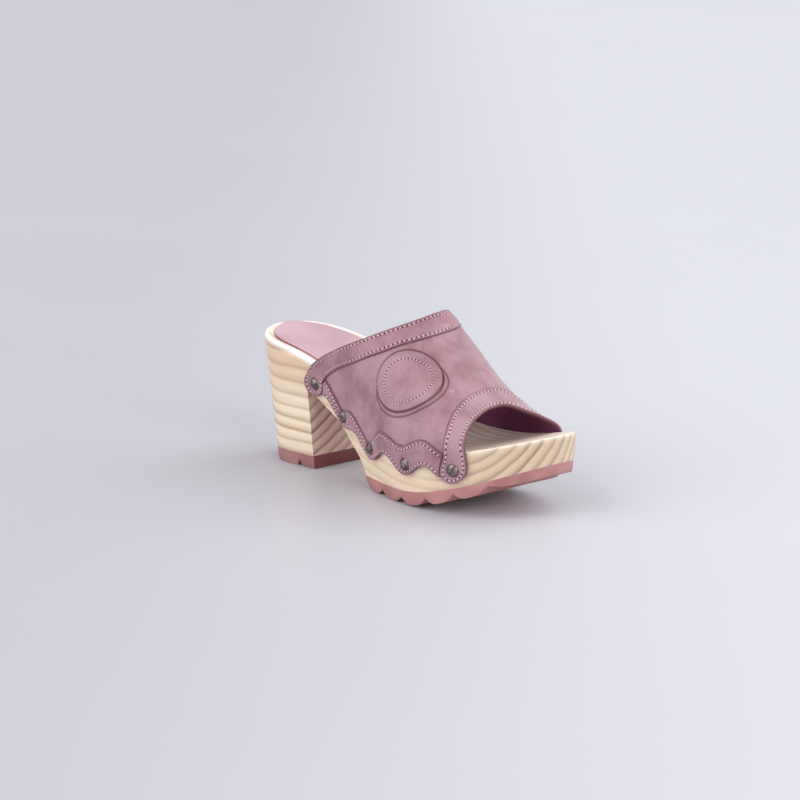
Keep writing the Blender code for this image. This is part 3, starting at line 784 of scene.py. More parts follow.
@dataclass
class Sheet:
    """A leather piece cut to an outline on the pattern, with stitch rows and relief.

    under and over are the heights of its back and face over the last. relief adds to the face, beside is a
    search tree over edges that are laid on it and other lines, where shade is painted on its face, and fine
    holds more pattern points for its mesh.
    """

    outline: np.ndarray
    under: float
    over: float
    seam_in: float = STITCH_IN
    puff: float = PUFF
    stitching: float = 1.0
    rounding: float = EDGE_ROUND
    paler: float = 0.0
    relief: object = None
    beside: object = None
    fine: object = None

    def __post_init__(self):
        self.outline = even(anticlockwise(self.outline), OUTLINE_STEP)
        self.hole = self.stitching * HOLE
        self.hole_dark = self.stitching * HOLE_DARK
        self.edges = tree_over(self.subdivided())
        self.rows = []
        self.holes = None

    def subdivided(self):
        """Outline points with two more between each pair."""
        ahead = np.roll(self.outline, -1, axis=0)
        return np.vstack([self.outline + (ahead - self.outline) * k / 3 for k in range(3)])

    def stitch(self, path, closed=True):
        """Add a row of stitch holes along a pattern path."""
        self.rows.append((even(path, self.stitching * PITCH, closed), closed))
        self.holes = tree_over(self.hole_spots())

    def hole_spots(self):
        """Pattern points of every stitch hole."""
        return np.vstack([row for row, _ in self.rows])

    def height(self, flat, with_holes=True):
        """Lift of the face at pattern points, their distance from its edge, and their depth in a hole."""
        place = last_surface(flat)
        gap = gaps(self.edges, place)
        turned = np.clip(self.rounding - gap, 0, self.rounding)
        lift = self.over - self.rounding + np.sqrt(self.rounding**2 - turned**2)
        if self.rows:
            lift = lift - SEAM_DEPTH * bell(gap, self.seam_in, SEAM_WIDTH)
            lift = lift + ease(0, self.puff, (gap - self.seam_in) / PUFF_REACH)
        if self.relief is not None:
            lift = lift + self.relief(flat, place) * np.clip(gap / RELIEF_IN, 0, 1)
            lift = np.maximum(lift, self.under + THINNEST)
        pit = np.zeros(len(flat))
        if self.rows and with_holes:
            pit = ease(1, 0, (gaps(self.holes, place) - self.hole_dark) / (self.hole - self.hole_dark))
            lift = lift - self.stitching * HOLE_DEPTH * pit
        return lift, gap, pit

    def edge_rings(self, border):
        """Pattern points of rings inside the outline, where the edge is rounded."""
        rings = []
        for distance in [part * self.rounding for part in EDGE_RINGS] + [border]:
            rings.append(clear_of(self.edges, inset(self.outline, distance), RING_CLEAR * distance))
        return np.vstack(rings)

    def hole_rings(self):
        """Pattern points at the middle of each stitch hole and in three rings round it."""
        spots = self.hole_spots()
        along, _, normal = tangents(spots)
        first = unit(along)
        second = np.cross(normal, first)
        around = [spots]
        middle = (self.hole + self.hole_dark) / 2
        for radius, count in zip((self.hole_dark, middle, self.hole), HOLE_RING_POINTS):
            for turn in full_turn(count):
                around.append(moved(spots, radius * (np.cos(turn) * first + np.sin(turn) * second)))
        return np.vstack(around)

    def mesh_points(self, spacing):
        """Pattern points for the mesh: the outline, rings inside it, stitch holes and a staggered grid."""
        border = max(EDGE_BORDER, EDGE_BORDER_ROUND * self.rounding)
        rings = self.edge_rings(border)
        grid = lattice(self.outline, spacing)
        grid = grid[within(self.outline, grid)]
        grid = clear_of(self.edges, grid, border + spacing / 2)
        if self.fine is not None:
            grid = np.vstack([clear_of(tree_over(self.fine), grid, FINE_CLEAR), self.fine])
        if self.rows:
            grid = clear_of(self.holes, grid, self.hole + spacing / 2)
            rings = clear_of(self.holes, rings, HOLE_CLEAR * self.hole)
            around = self.hole_rings()
            grid = np.vstack([grid, around[within(self.outline, around)]])
        rings = rings[within(self.outline, rings)]
        return np.vstack([self.outline, rings, grid])

    def build(self, name, spacing, stuffs, slot, stands_for, layers=()):
        """The closed mesh: face, cut edge and back, as three materials."""
        flat = self.mesh_points(spacing)
        count = len(self.outline)
        ring = [(i, (i + 1) % count) for i in range(count)]
        inside_only = 1
        closest = 1e-7
        _, _, triangles, origin, _, _ = delaunay_2d_cdt(flat.tolist(), ring, [], inside_only, closest)
        number = {source: i for i, sources in enumerate(origin) for source in sources}
        flat = np.array([flat[sources[0]] for sources in origin])
        lift, gap, pit = self.height(flat)
        size = len(flat)
        points = [lifted(flat, lift), lifted(flat, self.under)]
        faces = [tuple(corners) for corners in triangles]
        faces += [tuple(size + i for i in corners[::-1]) for corners in triangles]
        slots = [0] * len(triangles) + [2] * len(triangles)
        rim = [number[i] for i in range(count)]
        below = [size + i for i in rim]
        start = 2 * size
        for level, pulled in layers:
            points.append(lifted(inset(self.outline, pulled), level))
            above = list(range(start, start + count))
            start += count
            faces += wall(below, above)
            below = above
        faces += wall(below, rim)
        slots += [1] * (len(faces) - len(slots))
        points = np.vstack(points)
        rest = np.zeros(len(points) - size)
        # edge_gap sets the dark edge colour: the cut edge's own darker colour, kept off the patch's edge by
        # paler, and painted shade beside what is laid on the piece; pit also sets painted shade in the
        # stitch holes
        gap = gap + self.paler
        if self.beside is not None:
            gap = np.minimum(gap, gaps(self.beside, last_surface(flat)))
        values = {"edge_gap": np.concatenate([gap, rest]), "pit": np.concatenate([pit, rest])}
        piece(name, points, faces, stuffs, stands_for, slots, values)


def wall(below, above):
    """Quads of a cut edge between two rings of point numbers."""
    ring = zip(below, below[1:] + below[:1], above[1:] + above[:1], above)
    return list(ring)


def tube_faces(base, rings, sides):
    """Faces of a closed tube of rings of points."""
    faces = [tuple(base + i for i in range(sides))[::-1]]
    for k in range(rings - 1):
        low = base + k * sides
        for i in range(sides):
            j = (i + 1) % sides
            faces.append((low + i, low + j, low + sides + j, low + sides + i))
    last = base + (rings - 1) * sides
    faces.append(tuple(last + i for i in range(sides)))
    return faces


def stitch_rings(sheet, start, end):
    """Rings of points along the arched threads between holes, a stack of rings for each stitch."""
    ahead = last_surface(end) - last_surface(start)
    normal = tangents((start + end) / 2)[2]
    aside = unit(np.cross(normal, ahead))
    thick = sheet.stitching * THREAD
    rings = []
    for part, rise in zip(*STITCH.values()):
        flat = start + (end - start) * part
        lift, _, _ = sheet.height(flat, with_holes=False)
        middle = lifted(flat, lift + sheet.stitching * rise) + aside * STITCH_SLANT * (2 * part - 1)
        around = [middle + thick * (np.cos(t) * aside + np.sin(t) * normal) for t in full_turn(STITCH_SIDES)]
        rings.append(np.stack(around, axis=1))
    return np.stack(rings, axis=1)


def threads(name, sheet, stuff):
    """Every stitch of a sheet, as one piece."""
    points = []
    faces = []
    for row, closed in sheet.rows:
        start = row if closed else row[:-1]
        end = np.roll(row, -1, axis=0) if closed else row[1:]
        for stitch in stitch_rings(sheet, start, end):
            rings = len(stitch)
            faces += tube_faces(len(points) * rings * STITCH_SIDES, rings, STITCH_SIDES)
            points.append(stitch.reshape(-1, 3))
    piece(name, np.vstack(points), faces, [stuff["thread"]])


def swell(flat):
    """Soft unevenness of hand-lasted leather."""
    total = np.zeros(len(flat))
    for wavelength, turn, height, phase in zip(*SWELLS.values()):
        angle = np.radians(turn)
        along = flat[:, 0] * np.cos(angle) + flat[:, 1] * np.sin(angle)
        total += height * np.sin(2 * np.pi * along / wavelength + phase)
    return total


def creases(flat):
    """Short soft troughs, a little bowed, with low banks."""
    bow = 0.02
    trough = 1.2
    bank = 0.5
    bank_width = 2.2
    total = np.zeros(len(flat))
    for x, across, turn, half, width, depth in zip(*CREASES.values()):
        angle = np.radians(turn)
        away = flat - [x, across]
        along = away @ [np.cos(angle), np.sin(angle)]
        aside = (away @ [-np.sin(angle), np.cos(angle)] + bow * along**2) / width
        profile = bank * bell(aside, 0, bank_width) - trough * bell(aside, 0, 1)
        total += bell(along, 0, half) * depth * profile
    return total


ALL_NAILS = tree_over(np.vstack([nail_spots(OUTER), nail_spots(INNER)]))


def seat(flat, place):
    """Dimple under each nail."""
    return -SEAT_DEPTH * ease(1, 0, (gaps(ALL_NAILS, place) - SEAT_RADIUS) / SEAT_REACH)


def build_strips(stuff):
    """Strips round the openings and along the sides; returns the outlines that lie on the vamp."""
    strip = [stuff["strip"], stuff["cut"], stuff["cut"]]
    # The toe strip's leather and its cut edge are copies painted lighter than the other strips', for the
    # light they catch at the front
    strip_painted_lighter = [stuff["strip painted lighter"], stuff["edge painted lighter"], stuff["cut"]]
    collar = Sheet(collar_outline(), STRIP_UNDER, STRIP_OVER, relief=seat)
    toe = Sheet(toe_outline(), STRIP_UNDER, STRIP_OVER, relief=seat)
    for sheet in (collar, toe):
        sheet.stitch(inset(sheet.outline, STITCH_IN))
    collar.build("collar_strip", STRIP_GRID, strip, "band_leather", ["collar_band"])
    toe.build("toe_strip", STRIP_GRID, strip_painted_lighter, "band_leather", ["toe_band"])
    threads("collar_stitches", collar, stuff)
    threads("toe_stitches", toe, stuff)
    neighbours = tree_over(np.vstack([collar.outline, toe.outline]))

    def tucked(flat, place):
        """Relief of a side strip: nail seats, and thinned ends that tuck under the other strips."""
        return seat(flat, place) - ease(TUCK, 0, (gaps(neighbours, place) - TUCK_FROM) / TUCK_REACH)

    laid_on = [collar.subdivided(), toe.subdivided()]
    for side, word in SIDES:
        outline, high, low = side_lines(side)
        sheet = Sheet(outline, STRIP_UNDER, STRIP_OVER, relief=tucked)
        for path, left in ((low, -side), (high, side)):
            sheet.stitch(inset(path, left * STITCH_IN, closed=False)[BAND_ENDS], closed=False)
        sheet.build(f"side_strip_{word}", STRIP_GRID, strip, "band_leather", [f"side_band_{word}"])
        threads(f"side_stitches_{word}", sheet, stuff)
        laid_on.append(sheet.subdivided())
    return laid_on


def oval(out, count):
    """The patch's outline on the pattern, made larger by out."""
    return disc(PATCH_AT, np.add(PATCH_SIZE, out), count)


def build_patch(stuff, outline):
    """The oval patch and its stitches."""
    sheet = Sheet(outline, STRIP_UNDER, PATCH_OVER, seam_in=PATCH_STITCH_IN, puff=PATCH_PUFF,
                  stitching=PATCH_STITCHING, rounding=PATCH_ROUND, paler=PATCH_PALER)
    sheet.stitch(inset(sheet.outline, PATCH_STITCH_IN))
    faces = [stuff["vamp"], stuff["cut"], stuff["cut"]]
    sheet.build("oval_patch", PATCH_GRID, faces, "vamp_leather", ["side_patch"])
    threads("patch_stitches", sheet, stuff)


def below_patch(flat):
    """How far each pattern point lies to the lower front of the patch, 0 to 1."""
    away = flat - PATCH_AT
    return ease(0, 1, (away[:, 0] - away[:, 1] + PATCH_TURN_FROM) / PATCH_TURN_OVER)


def build_vamp(stuff, patch, laid_on):
    """The vamp, with what is pressed round the patch and painted shade beside all that is laid on it."""
    patch_edge = tree_over(patch)

    def pressed(flat, place):
        """Relief: swells, creases, and what is pressed round the patch."""
        gap = gaps(patch_edge, place)
        below = below_patch(flat)
        relief = np.zeros(len(flat))
        for share, (height, part, beyond, width) in zip((1, 1 - below, below, below), PATCH_PRESSED):
            relief += share * height * bell(gap, part * PATCH_LINE * below + beyond, width)
        return swell(flat) + creases(flat) + relief * ~within(patch, flat)

    # Lines of painted shade: near the patch's edge, further out above it where its rounded edge would hide
    # them, along the furrow below it, and beside every strip laid on the vamp
    near, far, above = (oval(out, 300) for out in (PATCH_SHADE, PATCH_LINE, PATCH_SHADE_ABOVE))
    below = below_patch(near)[:, None]
    painted_shade_lines = [near + (above - near) * (1 - below), near + (far - near) * below]
    painted_shade_edges = tree_over(np.vstack(laid_on + painted_shade_lines))
    fine = np.vstack([oval(out, 200) for out in FINE_RINGS])
    sheet = Sheet(vamp_outline(), VAMP_UNDER, VAMP_OVER, relief=pressed, beside=painted_shade_edges, fine=fine)
    faces = [stuff["vamp"], stuff["layer edge"], stuff["lining"]]
    sheet.build("vamp", VAMP_GRID, faces, "vamp_leather", ["upper"], VAMP_LAYERS)


def build_leather(stuff):
    """Strips, patch and vamp, with their stitches."""
    patch = oval(0, 240)
    laid_on = build_strips(stuff)
    build_patch(stuff, patch)
    build_vamp(stuff, patch, laid_on)


def build_nails(stuff):
    """Domed nail heads, each turned and a little tilted."""
    turn = full_turn(NAIL_SIDES)[:, None]
    for side, word in SIDES:
        spots = nail_spots(side)
        along, _, normal = tangents(spots)
        middle = lifted(spots, NAIL_UNDER)
        for i in range(len(spots)):
            first = unit(along[i])
            second = np.cross(normal[i], first)
            lean = np.cos(GOLDEN_TURN * i) * first + np.sin(GOLDEN_TURN * i) * second
            up = unit(normal[i] + NAIL_LEAN * lean)
            first = np.cross(second, up)
            second = np.cross(up, first)
            spokes = np.cos(turn) * first + np.sin(turn) * second
            rings = [middle[i] + NAIL_RADIUS * r * spokes + h * up for r, h in zip(*NAIL_PROFILE.values())]
            faces = tube_faces(0, len(rings), NAIL_SIDES)
            name = f"nail_head_{word}_{i + 1}"
            node = f"nail_{word}_{i + 1}"
            piece(name, np.vstack(rings), faces, [stuff["metal"]], [node], sharp=60)


# Wood, rubber and the insole pad


def build_wood(stuff):
    """The sole block: footbed, rounded rim, drafted sides, breast and underside."""
    heel = BREAST * (1 - np.cos(quarter_turn(56)))
    arch = np.linspace(BREAST, BALL_EDGE, 36)
    ball = BALL_EDGE + (TIP - BALL_EDGE) * np.sin(quarter_turn(90))
    front = np.concatenate([arch, ball[1:]])
    whole = np.concatenate([heel, front[1:]])
    breast_row = len(heel) - 1
    top = rows_across(whole, RIM_ROUND, footbed, 25, square=breast_row)
    polygons = skin(top)
    rounded = []
    for turn in quarter_turn(7):
        inward = np.full_like(whole, RIM_ROUND * (1 - (1 - DRAFT) * np.sin(turn)))
        rows = below_rim(whole, inward, square=breast_row)
        rows[..., 2] += (top[:, [0, -1], 2] - rows[..., 2]) * np.cos(turn)
        rounded.append(loop(rows))
    for above, below in zip(rounded, rounded[1:]):
        polygons += flipped(strips(above, below))

    split = float(arch_height(BREAST))
    heel_high = side_levels(heel, None, lambda x: np.full_like(x, split), 9, {"front": BREAST})
    heel_low = side_levels(heel, split, lambda x: np.full_like(x, RUBBER + WOOD_GAP), 14, {"front": BREAST})
    front_high = side_levels(front, None, underside, 9, {"back": BREAST})
    for levels in (heel_high, heel_low, front_high):
        for above, below in zip(levels, levels[1:]):
            polygons += strips(below[:, 0], above[:, 0])
            polygons += strips(above[:, 1], below[:, 1])
    polygons += flipped(skin(filled(heel_low[-1])))
    polygons += flipped(skin(filled(front_high[-1])))
    polygons += skin(filled(np.stack([rows[-1] for rows in heel_low])))
    points, faces = welded(polygons)
    values = {"rim": painted_rim_highlight(points)}
    piece("sole_block", points, faces, [stuff["wood"]], ["wooden_sole"], values=values, sharp=35)


def below_rim(x, inset_by, **ends):
    """Outer and inner points at the foot of the rim's rounding."""
    return rows_across(x, inset_by, lambda px, py: rim_height(px) - RIM_ROUND, 2, **ends)


def side_levels(x, start, end, count, ends):
    """Points of both sides at levels from a start height, or from the rim, down to an end height."""
    inset_high = np.full_like(x, DRAFT * RIM_ROUND)
    high = below_rim(x, inset_high, **ends)[..., 2]
    if start is not None:
        inset_high = DRAFT * (rim_height(x) - start)
        high = np.full_like(high, start)
    inset_low = DRAFT * (rim_height(x) - end(x))

    def level(part):
        """Points of both sides, part of the way down."""
        inward = inset_high + (inset_low - inset_high) * part
        return rows_across(x, inward, lambda px, py: high + (end(px) - high) * part, 2, **ends)

    return [level(part) for part in np.linspace(0, 1, count)]


def filled(rows):
    """Rows of points between each row's two ends."""
    part = np.linspace(0, 1, 13)[None, :, None]
    return rows[:, :1] * (1 - part) + rows[:, 1:] * part


def painted_rim_highlight(points):
    """How strongly the rim's painted highlight shows at each point, fading towards the toe."""
    plan = np.vstack([PLAN[OUTER], PLAN[INNER]])[::4, :2]
    from_edge = gaps(tree(np.pad(plan, ((0, 0), (0, 1)))), points * [1, 1, 0])
    below = rim_height(points[:, 0]) - points[:, 2]
    rim_lit = ease(1, 0, (from_edge - RIM_HIGHLIGHT_FROM) / RIM_HIGHLIGHT_IN) * ease(1, 0, (below - RIM_HIGHLIGHT_FROM) / RIM_HIGHLIGHT_DOWN)
    return rim_lit * ease(1, RIM_HIGHLIGHT_LEAST, (points[:, 0] - RIM_HIGHLIGHT_FADES_FROM) / RIM_HIGHLIGHT_FADES_OVER)


def slab(name, x, top, bottom, stuff, node, front=None, back=None):
    """Rubber flush with the wood's side, with small chamfers along its edges."""

    def face(height, raised, pulled):
        """One level: raised over a height, and pulled in from the side."""
        inward = DRAFT * (rim_height(x) - height(x)) + pulled
        ends = {
            "front": None if front is None else front - pulled,
            "back": None if back is None else back + pulled,
        }
        return rows_across(x, inward, lambda px, py: height(px) + raised, 13, **ends)

    chamfer = RUBBER_CHAMFER
    levels = [
        face(top, 0.0, 0.1 * chamfer),
        face(top, -0.1 * chamfer, 0.0),
        face(bottom, chamfer, 0.0),
        face(bottom, 0.3 * chamfer, 0.3 * chamfer),
        face(bottom, 0.0, chamfer),
    ]
    polygons = skin(levels[0]) + flipped(skin(levels[-1]))
    for above, below in zip(levels, levels[1:]):
        polygons += flipped(strips(loop(above), loop(below)))
    points, faces = welded(polygons)
    piece(name, points, faces, [stuff], [node], sharp=35)


def build_rubber(stuff):
    """Heel lift and lugged forefoot."""

    def lift_top(at):
        """Flat top of the heel lift."""
        return np.full_like(at, RUBBER)

    def lift_bottom(at):
        """Walking face of the heel lift, with its groove."""
        return GROOVE_DEPTH * np.clip(1 - np.abs(at - GROOVE_AT) / GROOVE_HALF, 0, 1)

    def forefoot_top(at):
        """Top of the forefoot's rubber, just under the wood."""
        return underside(np.maximum(at, BALL_EDGE)) - WOOD_GAP

    groove = GROOVE_AT + GROOVE_HALF * np.linspace(-1.2, 1.2, 13)
    x = np.sort(np.concatenate([BREAST * (1 - np.cos(quarter_turn(70))), groove]))
    slab("heel_rubber", x, lift_top, lift_bottom, stuff["heel rubber"], "heel_top_lift", front=BREAST)

    lugs = (LUG_NOTCHES[:-1, None] + np.diff(LUG_NOTCHES)[:, None] * np.linspace(0, 1, 25)[:-1]).ravel()
    nose = TIP - NOSE_LENGTH * (1 - np.sin(quarter_turn(40)))
    x = np.concatenate([lugs[lugs < nose[0] - 0.5], nose])
    slab("forefoot_rubber", x, forefoot_top, tread, stuff["rubber"], "forefoot_outsole", back=BALL_EDGE)


def build_pad(stuff):
    """Leather pad in the heel seat and waist, with a turned edge and soft dents."""
    x = PAD_FRONT * (1 - np.cos(quarter_turn(90)))

    def face(raised, pulled):
        """One level: raised over the footbed, and pulled in from the pad's edge."""
        inward = np.full_like(x, PAD_INSET + pulled)
        return rows_across(x, inward, lambda px, py: footbed(px, py) + raised, 31, front=PAD_FRONT - pulled)

    rings = [face(0.1, 0.0)]
    for turn in quarter_turn(6):
        rings.append(face(PAD - PAD_ROUND * (1 - np.sin(turn)), PAD_ROUND * (1 - np.cos(turn))))
    polygons = skin(rings[-1]) + flipped(skin(rings[0]))
    for below, above in zip(rings, rings[1:]):
        polygons += strips(loop(below), loop(above))
    points, faces = welded(polygons)
    px, py, pz = points.T
    away = np.minimum(*(np.abs(py - edge(side, px)[:, 1]) for side in (OUTER, INNER)))
    inside = ease(0, 1, (away - PAD_INSET - 1) / DENTS_REACH)
    dents = DENTS * np.sin(px / 11 + 0.5) * np.sin(py / 9 + 1) + RIPPLES * np.sin(px / 5.3)
    on_top = pz > footbed(px, py) + 0.9 * PAD
    points[:, 2] += inside * (PAD_PUFF + dents) * on_top
    # The pad's low side wall takes the darker cut-edge leather: its own cut edge, with painted shade along
    # the gap to the wood
    low = points[:, 2] - footbed(px, py) < 0.6 * PAD
    slots = [int(low[list(corners)].mean() >= 0.5) for corners in faces]
    stuffs = [stuff["pad"], stuff["cut"]]
    piece("insole_leather", points, faces, stuffs, ["insole_pad"], slots, sharp=50)


# Materials


def linear(red, green, blue):
    """A colour seen on screen, 0 to 255, as the light it stands for."""
    seen = np.array([red, green, blue]) / 255
    light = np.where(seen <= 0.04045, seen / 12.92, ((seen + 0.055) / 1.055)**2.4)
    return (*light.tolist(), 1.0)


class Maker:
    """Adds nodes to one material."""

    def __init__(self, name):
        self.material = bpy.data.materials.new(name)
        self.material.use_nodes = True
        self.tree = self.material.node_tree
        self.shader = self.tree.nodes["Principled BSDF"]
        where = self.add("ShaderNodeTexCoord").outputs
        self.place = where["Object"]
        self.normal = where["Normal"]

    def add(self, kind, inputs=None, **settings):
        """One node, with its inputs linked or set."""
        made = self.tree.nodes.new(kind)
        for key, value in settings.items():
            setattr(made, key, value)
        for key, value in (inputs or {}).items():
            self.put(made.inputs[key], value)
        return made

    def put(self, socket, value):
        """Link or set one input."""
        if isinstance(value, bpy.types.NodeSocket):
            self.tree.links.new(value, socket)
        else:
            socket.default_value = value

    def math(self, operation, first, second=0.0):
        """One sum on values."""
        return self.add("ShaderNodeMath", {0: first, 1: second}, operation=operation).outputs[0]

    def plus(self, first, second):
        """The sum of two values."""
        return self.math("ADD", first, second)

    def minus(self, first, second):
        """The difference of two values."""
        return self.math("SUBTRACT", first, second)

    def times(self, first, second):
        """The product of two values."""
        return self.math("MULTIPLY", first, second)

    def apart(self, vector):
        """X, Y and Z of a vector."""
        return self.add("ShaderNodeSeparateXYZ", {0: vector}).outputs

    def noise(self, scale, detail=3.0, stretch=(1, 1, 1), rough=0.5):
        """Noise over the object's own coordinates."""
        at = self.add("ShaderNodeVectorMath", {0: self.place, 1: stretch}, operation="MULTIPLY").outputs[0]
        inputs = {"Vector": at, "Scale": scale, "Detail": detail, "Roughness": rough}
        return self.add("ShaderNodeTexNoise", inputs).outputs["Fac"]

    def spread(self, value, low, high, start=0.0, end=1.0, kind="SMOOTHSTEP"):
        """The value's range between low and high, carried to start and end."""
        inputs = {"Value": value, "From Min": low, "From Max": high, "To Min": start, "To Max": end}
        return self.add("ShaderNodeMapRange", inputs, interpolation_type=kind).outputs["Result"]

    def between(self, part, start, end):
        """The value that lies this part of the way from start to end."""
        return self.spread(part, 0, 1, start, end, "LINEAR")

    def ramp(self, value, stops):
        """Grey that runs through stops, each a place from 0 to 1 and the grey there."""
        made = self.add("ShaderNodeValToRGB", {0: value})
        elements = made.color_ramp.elements
        while len(elements) < len(stops):
            elements.new(0.5)
        for element, (at, grey) in zip(elements, stops):
            element.position = at
            element.color = (grey, grey, grey, 1)
        return made.outputs[0]

    def mix(self, part, first, second):
        """Two colours mixed; a plain one is given as seen on screen, 0 to 255."""
        made = self.add("ShaderNodeMix", data_type="RGBA")
        for number, value in ((0, part), (6, first), (7, second)):
            self.put(made.inputs[number], linear(*value) if isinstance(value, tuple) else value)
        return made.outputs[2]

    def value(self, name):
        """A value kept on the mesh's points."""
        return self.add("ShaderNodeAttribute", attribute_name=name).outputs["Fac"]

    def bump(self, height, depth, strength=1.0, before=None):
        """Relief in the shading; depth is in millimetres."""
        inputs = {"Height": height, "Distance": depth / 1000, "Strength": strength}
        if before is not None:
            inputs["Normal"] = before
        return self.add("ShaderNodeBump", inputs).outputs["Normal"]

    def finish(self, colour, roughness, normal=None, **others):
        """Set the shader's inputs; in the names of the others an underscore stands for a space."""
        inputs = {"Base Color": colour, "Roughness": roughness}
        if normal is not None:
            inputs["Normal"] = normal
        for key, value in others.items():
            inputs[key.replace("_", " ")] = value
        for key, value in inputs.items():
            self.put(self.shader.inputs[key], value)
        return self.material


def leather(name, pale, deep, edge_paint_and_shade, rough=0.62):
    """Waxed nubuck: cloudy colour, pale rubs, darker cut edges with painted shade beside what is laid on it,
    painted shade in stitch holes, fine grain.
    """
    m = Maker(name)
    cloud = m.noise(42, 4, rough=0.55)
    blot = m.noise(120, 4, rough=0.6)
    rubs = m.noise(170, 5, (1, 0.55, 1), rough=0.65)
    fine = m.noise(620, 3)
    tone = m.noise(60, 3, rough=0.6)
    colour = m.mix(m.spread(cloud, 0.36, 0.64), deep, pale)
    colour = m.mix(m.spread(tone, 0.45, 0.68, 0.0, 0.34), colour, (172, 142, 149))
    colour = m.mix(m.spread(blot, 0.42, 0.72, 0.0, 0.45), colour, pale)
    colour = m.mix(m.spread(rubs, 0.60, 0.74, 0.0, 0.35), colour, (214, 182, 191))
    colour = m.mix(m.spread(fine, 0.35, 0.7, 0.0, 0.16), colour, deep)
    # Darker towards edges: the cut edge's own colour, and painted shade beside strips and along lines round
    # the patch
    edge_and_shade_mask = m.spread(m.value("edge_gap"), 0.10, 1.05, 0.80, 0.0)
    colour = m.mix(edge_and_shade_mask, colour, edge_paint_and_shade)
    # Painted shade in the stitch holes
    colour = m.mix(m.value("pit"), colour, (38, 18, 26))
    normal = m.bump(m.noise(2300, 2), 0.10, 0.7)
    normal = m.bump(fine, 0.16, 0.5, normal)
    roughness = m.spread(blot, 0.3, 0.7, rough - 0.08, rough + 0.08)
    return m.finish(colour, roughness, normal, Sheen_Weight=0.65, Sheen_Roughness=0.35)


def plain_leather(name, pale, deep, rough, grain_scale):
    """Smooth lining or pad leather with fine pores."""
    m = Maker(name)
    cloud = m.noise(30, 4)
    pores = m.noise(grain_scale, 3)
    colour = m.mix(m.spread(cloud, 0.35, 0.68), deep, pale)
    colour = m.mix(m.spread(pores, 0.5, 0.75, 0.0, 0.2), colour, deep)
    return m.finish(colour, rough, m.bump(pores, 0.1, 0.5))


# A year's growth from its start to its end: how dark the wood is at each part of the ring
YEAR = (
    (0.00, 0.30), (0.12, 0.04), (0.36, 0.10), (0.60, 0.36), (0.76, 0.74), (0.86, 1.00), (0.94, 0.76),
    (1.00, 0.30),
)


def growth_rings(m, at):
    """How dark the wood is by its rings, which run round one pith at the heel and another at the toe."""
    drift = m.between(m.noise(24, 2, (0.35, 1, 1)), -0.0030, 0.0030)
    ripple = m.between(m.noise(130, 2, (0.15, 1, 1)), -0.0006, 0.0006)
    waver = m.plus(drift, ripple)

    def years(pith_y, pith_z, start, density, narrowing, phase):
        """Years counted outwards from a start radius round a pith that runs along the shoe."""
        from_y = m.minus(at["Y"], pith_y)
        from_z = m.minus(at["Z"], pith_z)
        radius = m.math("SQRT", m.plus(m.times(from_y, from_y), m.times(from_z, from_z)))
        beyond = m.plus(m.minus(radius, start), waver)
        steeper = m.plus(m.times(beyond, narrowing), density)
        return m.plus(m.times(beyond, steeper), phase)

    heel = years(pith_y=-0.138, pith_z=0.230, start=0.2153, density=132, narrowing=270, phase=41.14)
    toe = years(pith_y=-0.098, pith_z=0.100, start=0.0926, density=169, narrowing=0, phase=40.945)
    towards_toe = m.spread(at["X"], -0.064, -0.010)
    rings = m.plus(heel, m.times(towards_toe, m.minus(toe, heel)))
    which = m.add("ShaderNodeTexWhiteNoise", {"W": m.math("FLOOR", rings)}, noise_dimensions="1D")
    dark = m.ramp(m.math("FRACT", rings), YEAR)
    return m.times(dark, m.between(which.outputs["Value"], 0.55, 1.0))


def wood():
    """Pale softwood: growth rings, calmer along the platform, fine fibres, a painted highlight along the
    rim, a painted bounce of light on top-facing wood, and satin lacquer.
    """
    m = Maker("lacquered softwood")
    at = m.apart(m.place)
    facing = m.apart(m.normal)
    breast = m.spread(m.math("ABSOLUTE", facing["X"]), 0.35, 0.80)
    top = m.spread(facing["Z"], 0.75, 0.95)
    front = m.times(m.spread(at["X"], 0.055, 0.085), m.minus(1.0, top))
    platform = m.spread(at["X"], -0.050, -0.020)
    calm = m.times(platform, m.minus(1.0, m.math("MAXIMUM", front, top)))
    high = m.times(m.spread(at["Z"], 0.040, 0.070), m.spread(at["X"], -0.060, -0.030, 1.0, 0.0))

    depth = growth_rings(m, at)
    depth = m.times(depth, m.between(top, 1.0, 0.95))
    depth = m.times(depth, m.between(calm, 1.0, 0.65))
    early = m.mix(high, (244, 229, 203), (228, 201, 171))
    early = m.mix(calm, early, (235, 218, 188))
    late = m.mix(high, (186, 152, 116), (164, 124, 94))
    # End-grain colours for the breast and the toe's front; top-facing wood is painted lighter and warmer, a
    # painted bounce of light onto the footbed inside the toe opening
    grain_tints_and_bounce = (
        (breast, (236, 201, 186), (130, 88, 78)),
        (front, (212, 190, 158), (78, 58, 46)),
        (top, (255, 242, 226), (214, 168, 142)),
    )
    for part, early_tint, late_tint in grain_tints_and_bounce:
        early = m.mix(part, early, early_tint)
        late = m.mix(part, late, late_tint)

    fibre = m.noise(520, 3, (0.04, 1, 1))
    warm = m.noise(14, 2)
    colour = m.mix(depth, early, late)
    colour = m.mix(m.spread(fibre, 0.4, 0.75, 0.0, 0.22), colour, (188, 152, 118))
    colour = m.mix(m.spread(warm, 0.35, 0.7, 0.0, 0.25), colour, (240, 212, 186))
    # Painted highlight along the rim, near white
    colour = m.mix(m.times(m.value("rim"), 0.9), colour, (255, 251, 243))
    normal = m.bump(fibre, 0.05, 0.5)
    normal = m.bump(depth, 0.02, 0.5, normal)
    return m.finish(colour, m.between(depth, 0.42, 0.5), normal, Coat_Weight=0.12, Coat_Roughness=0.3)


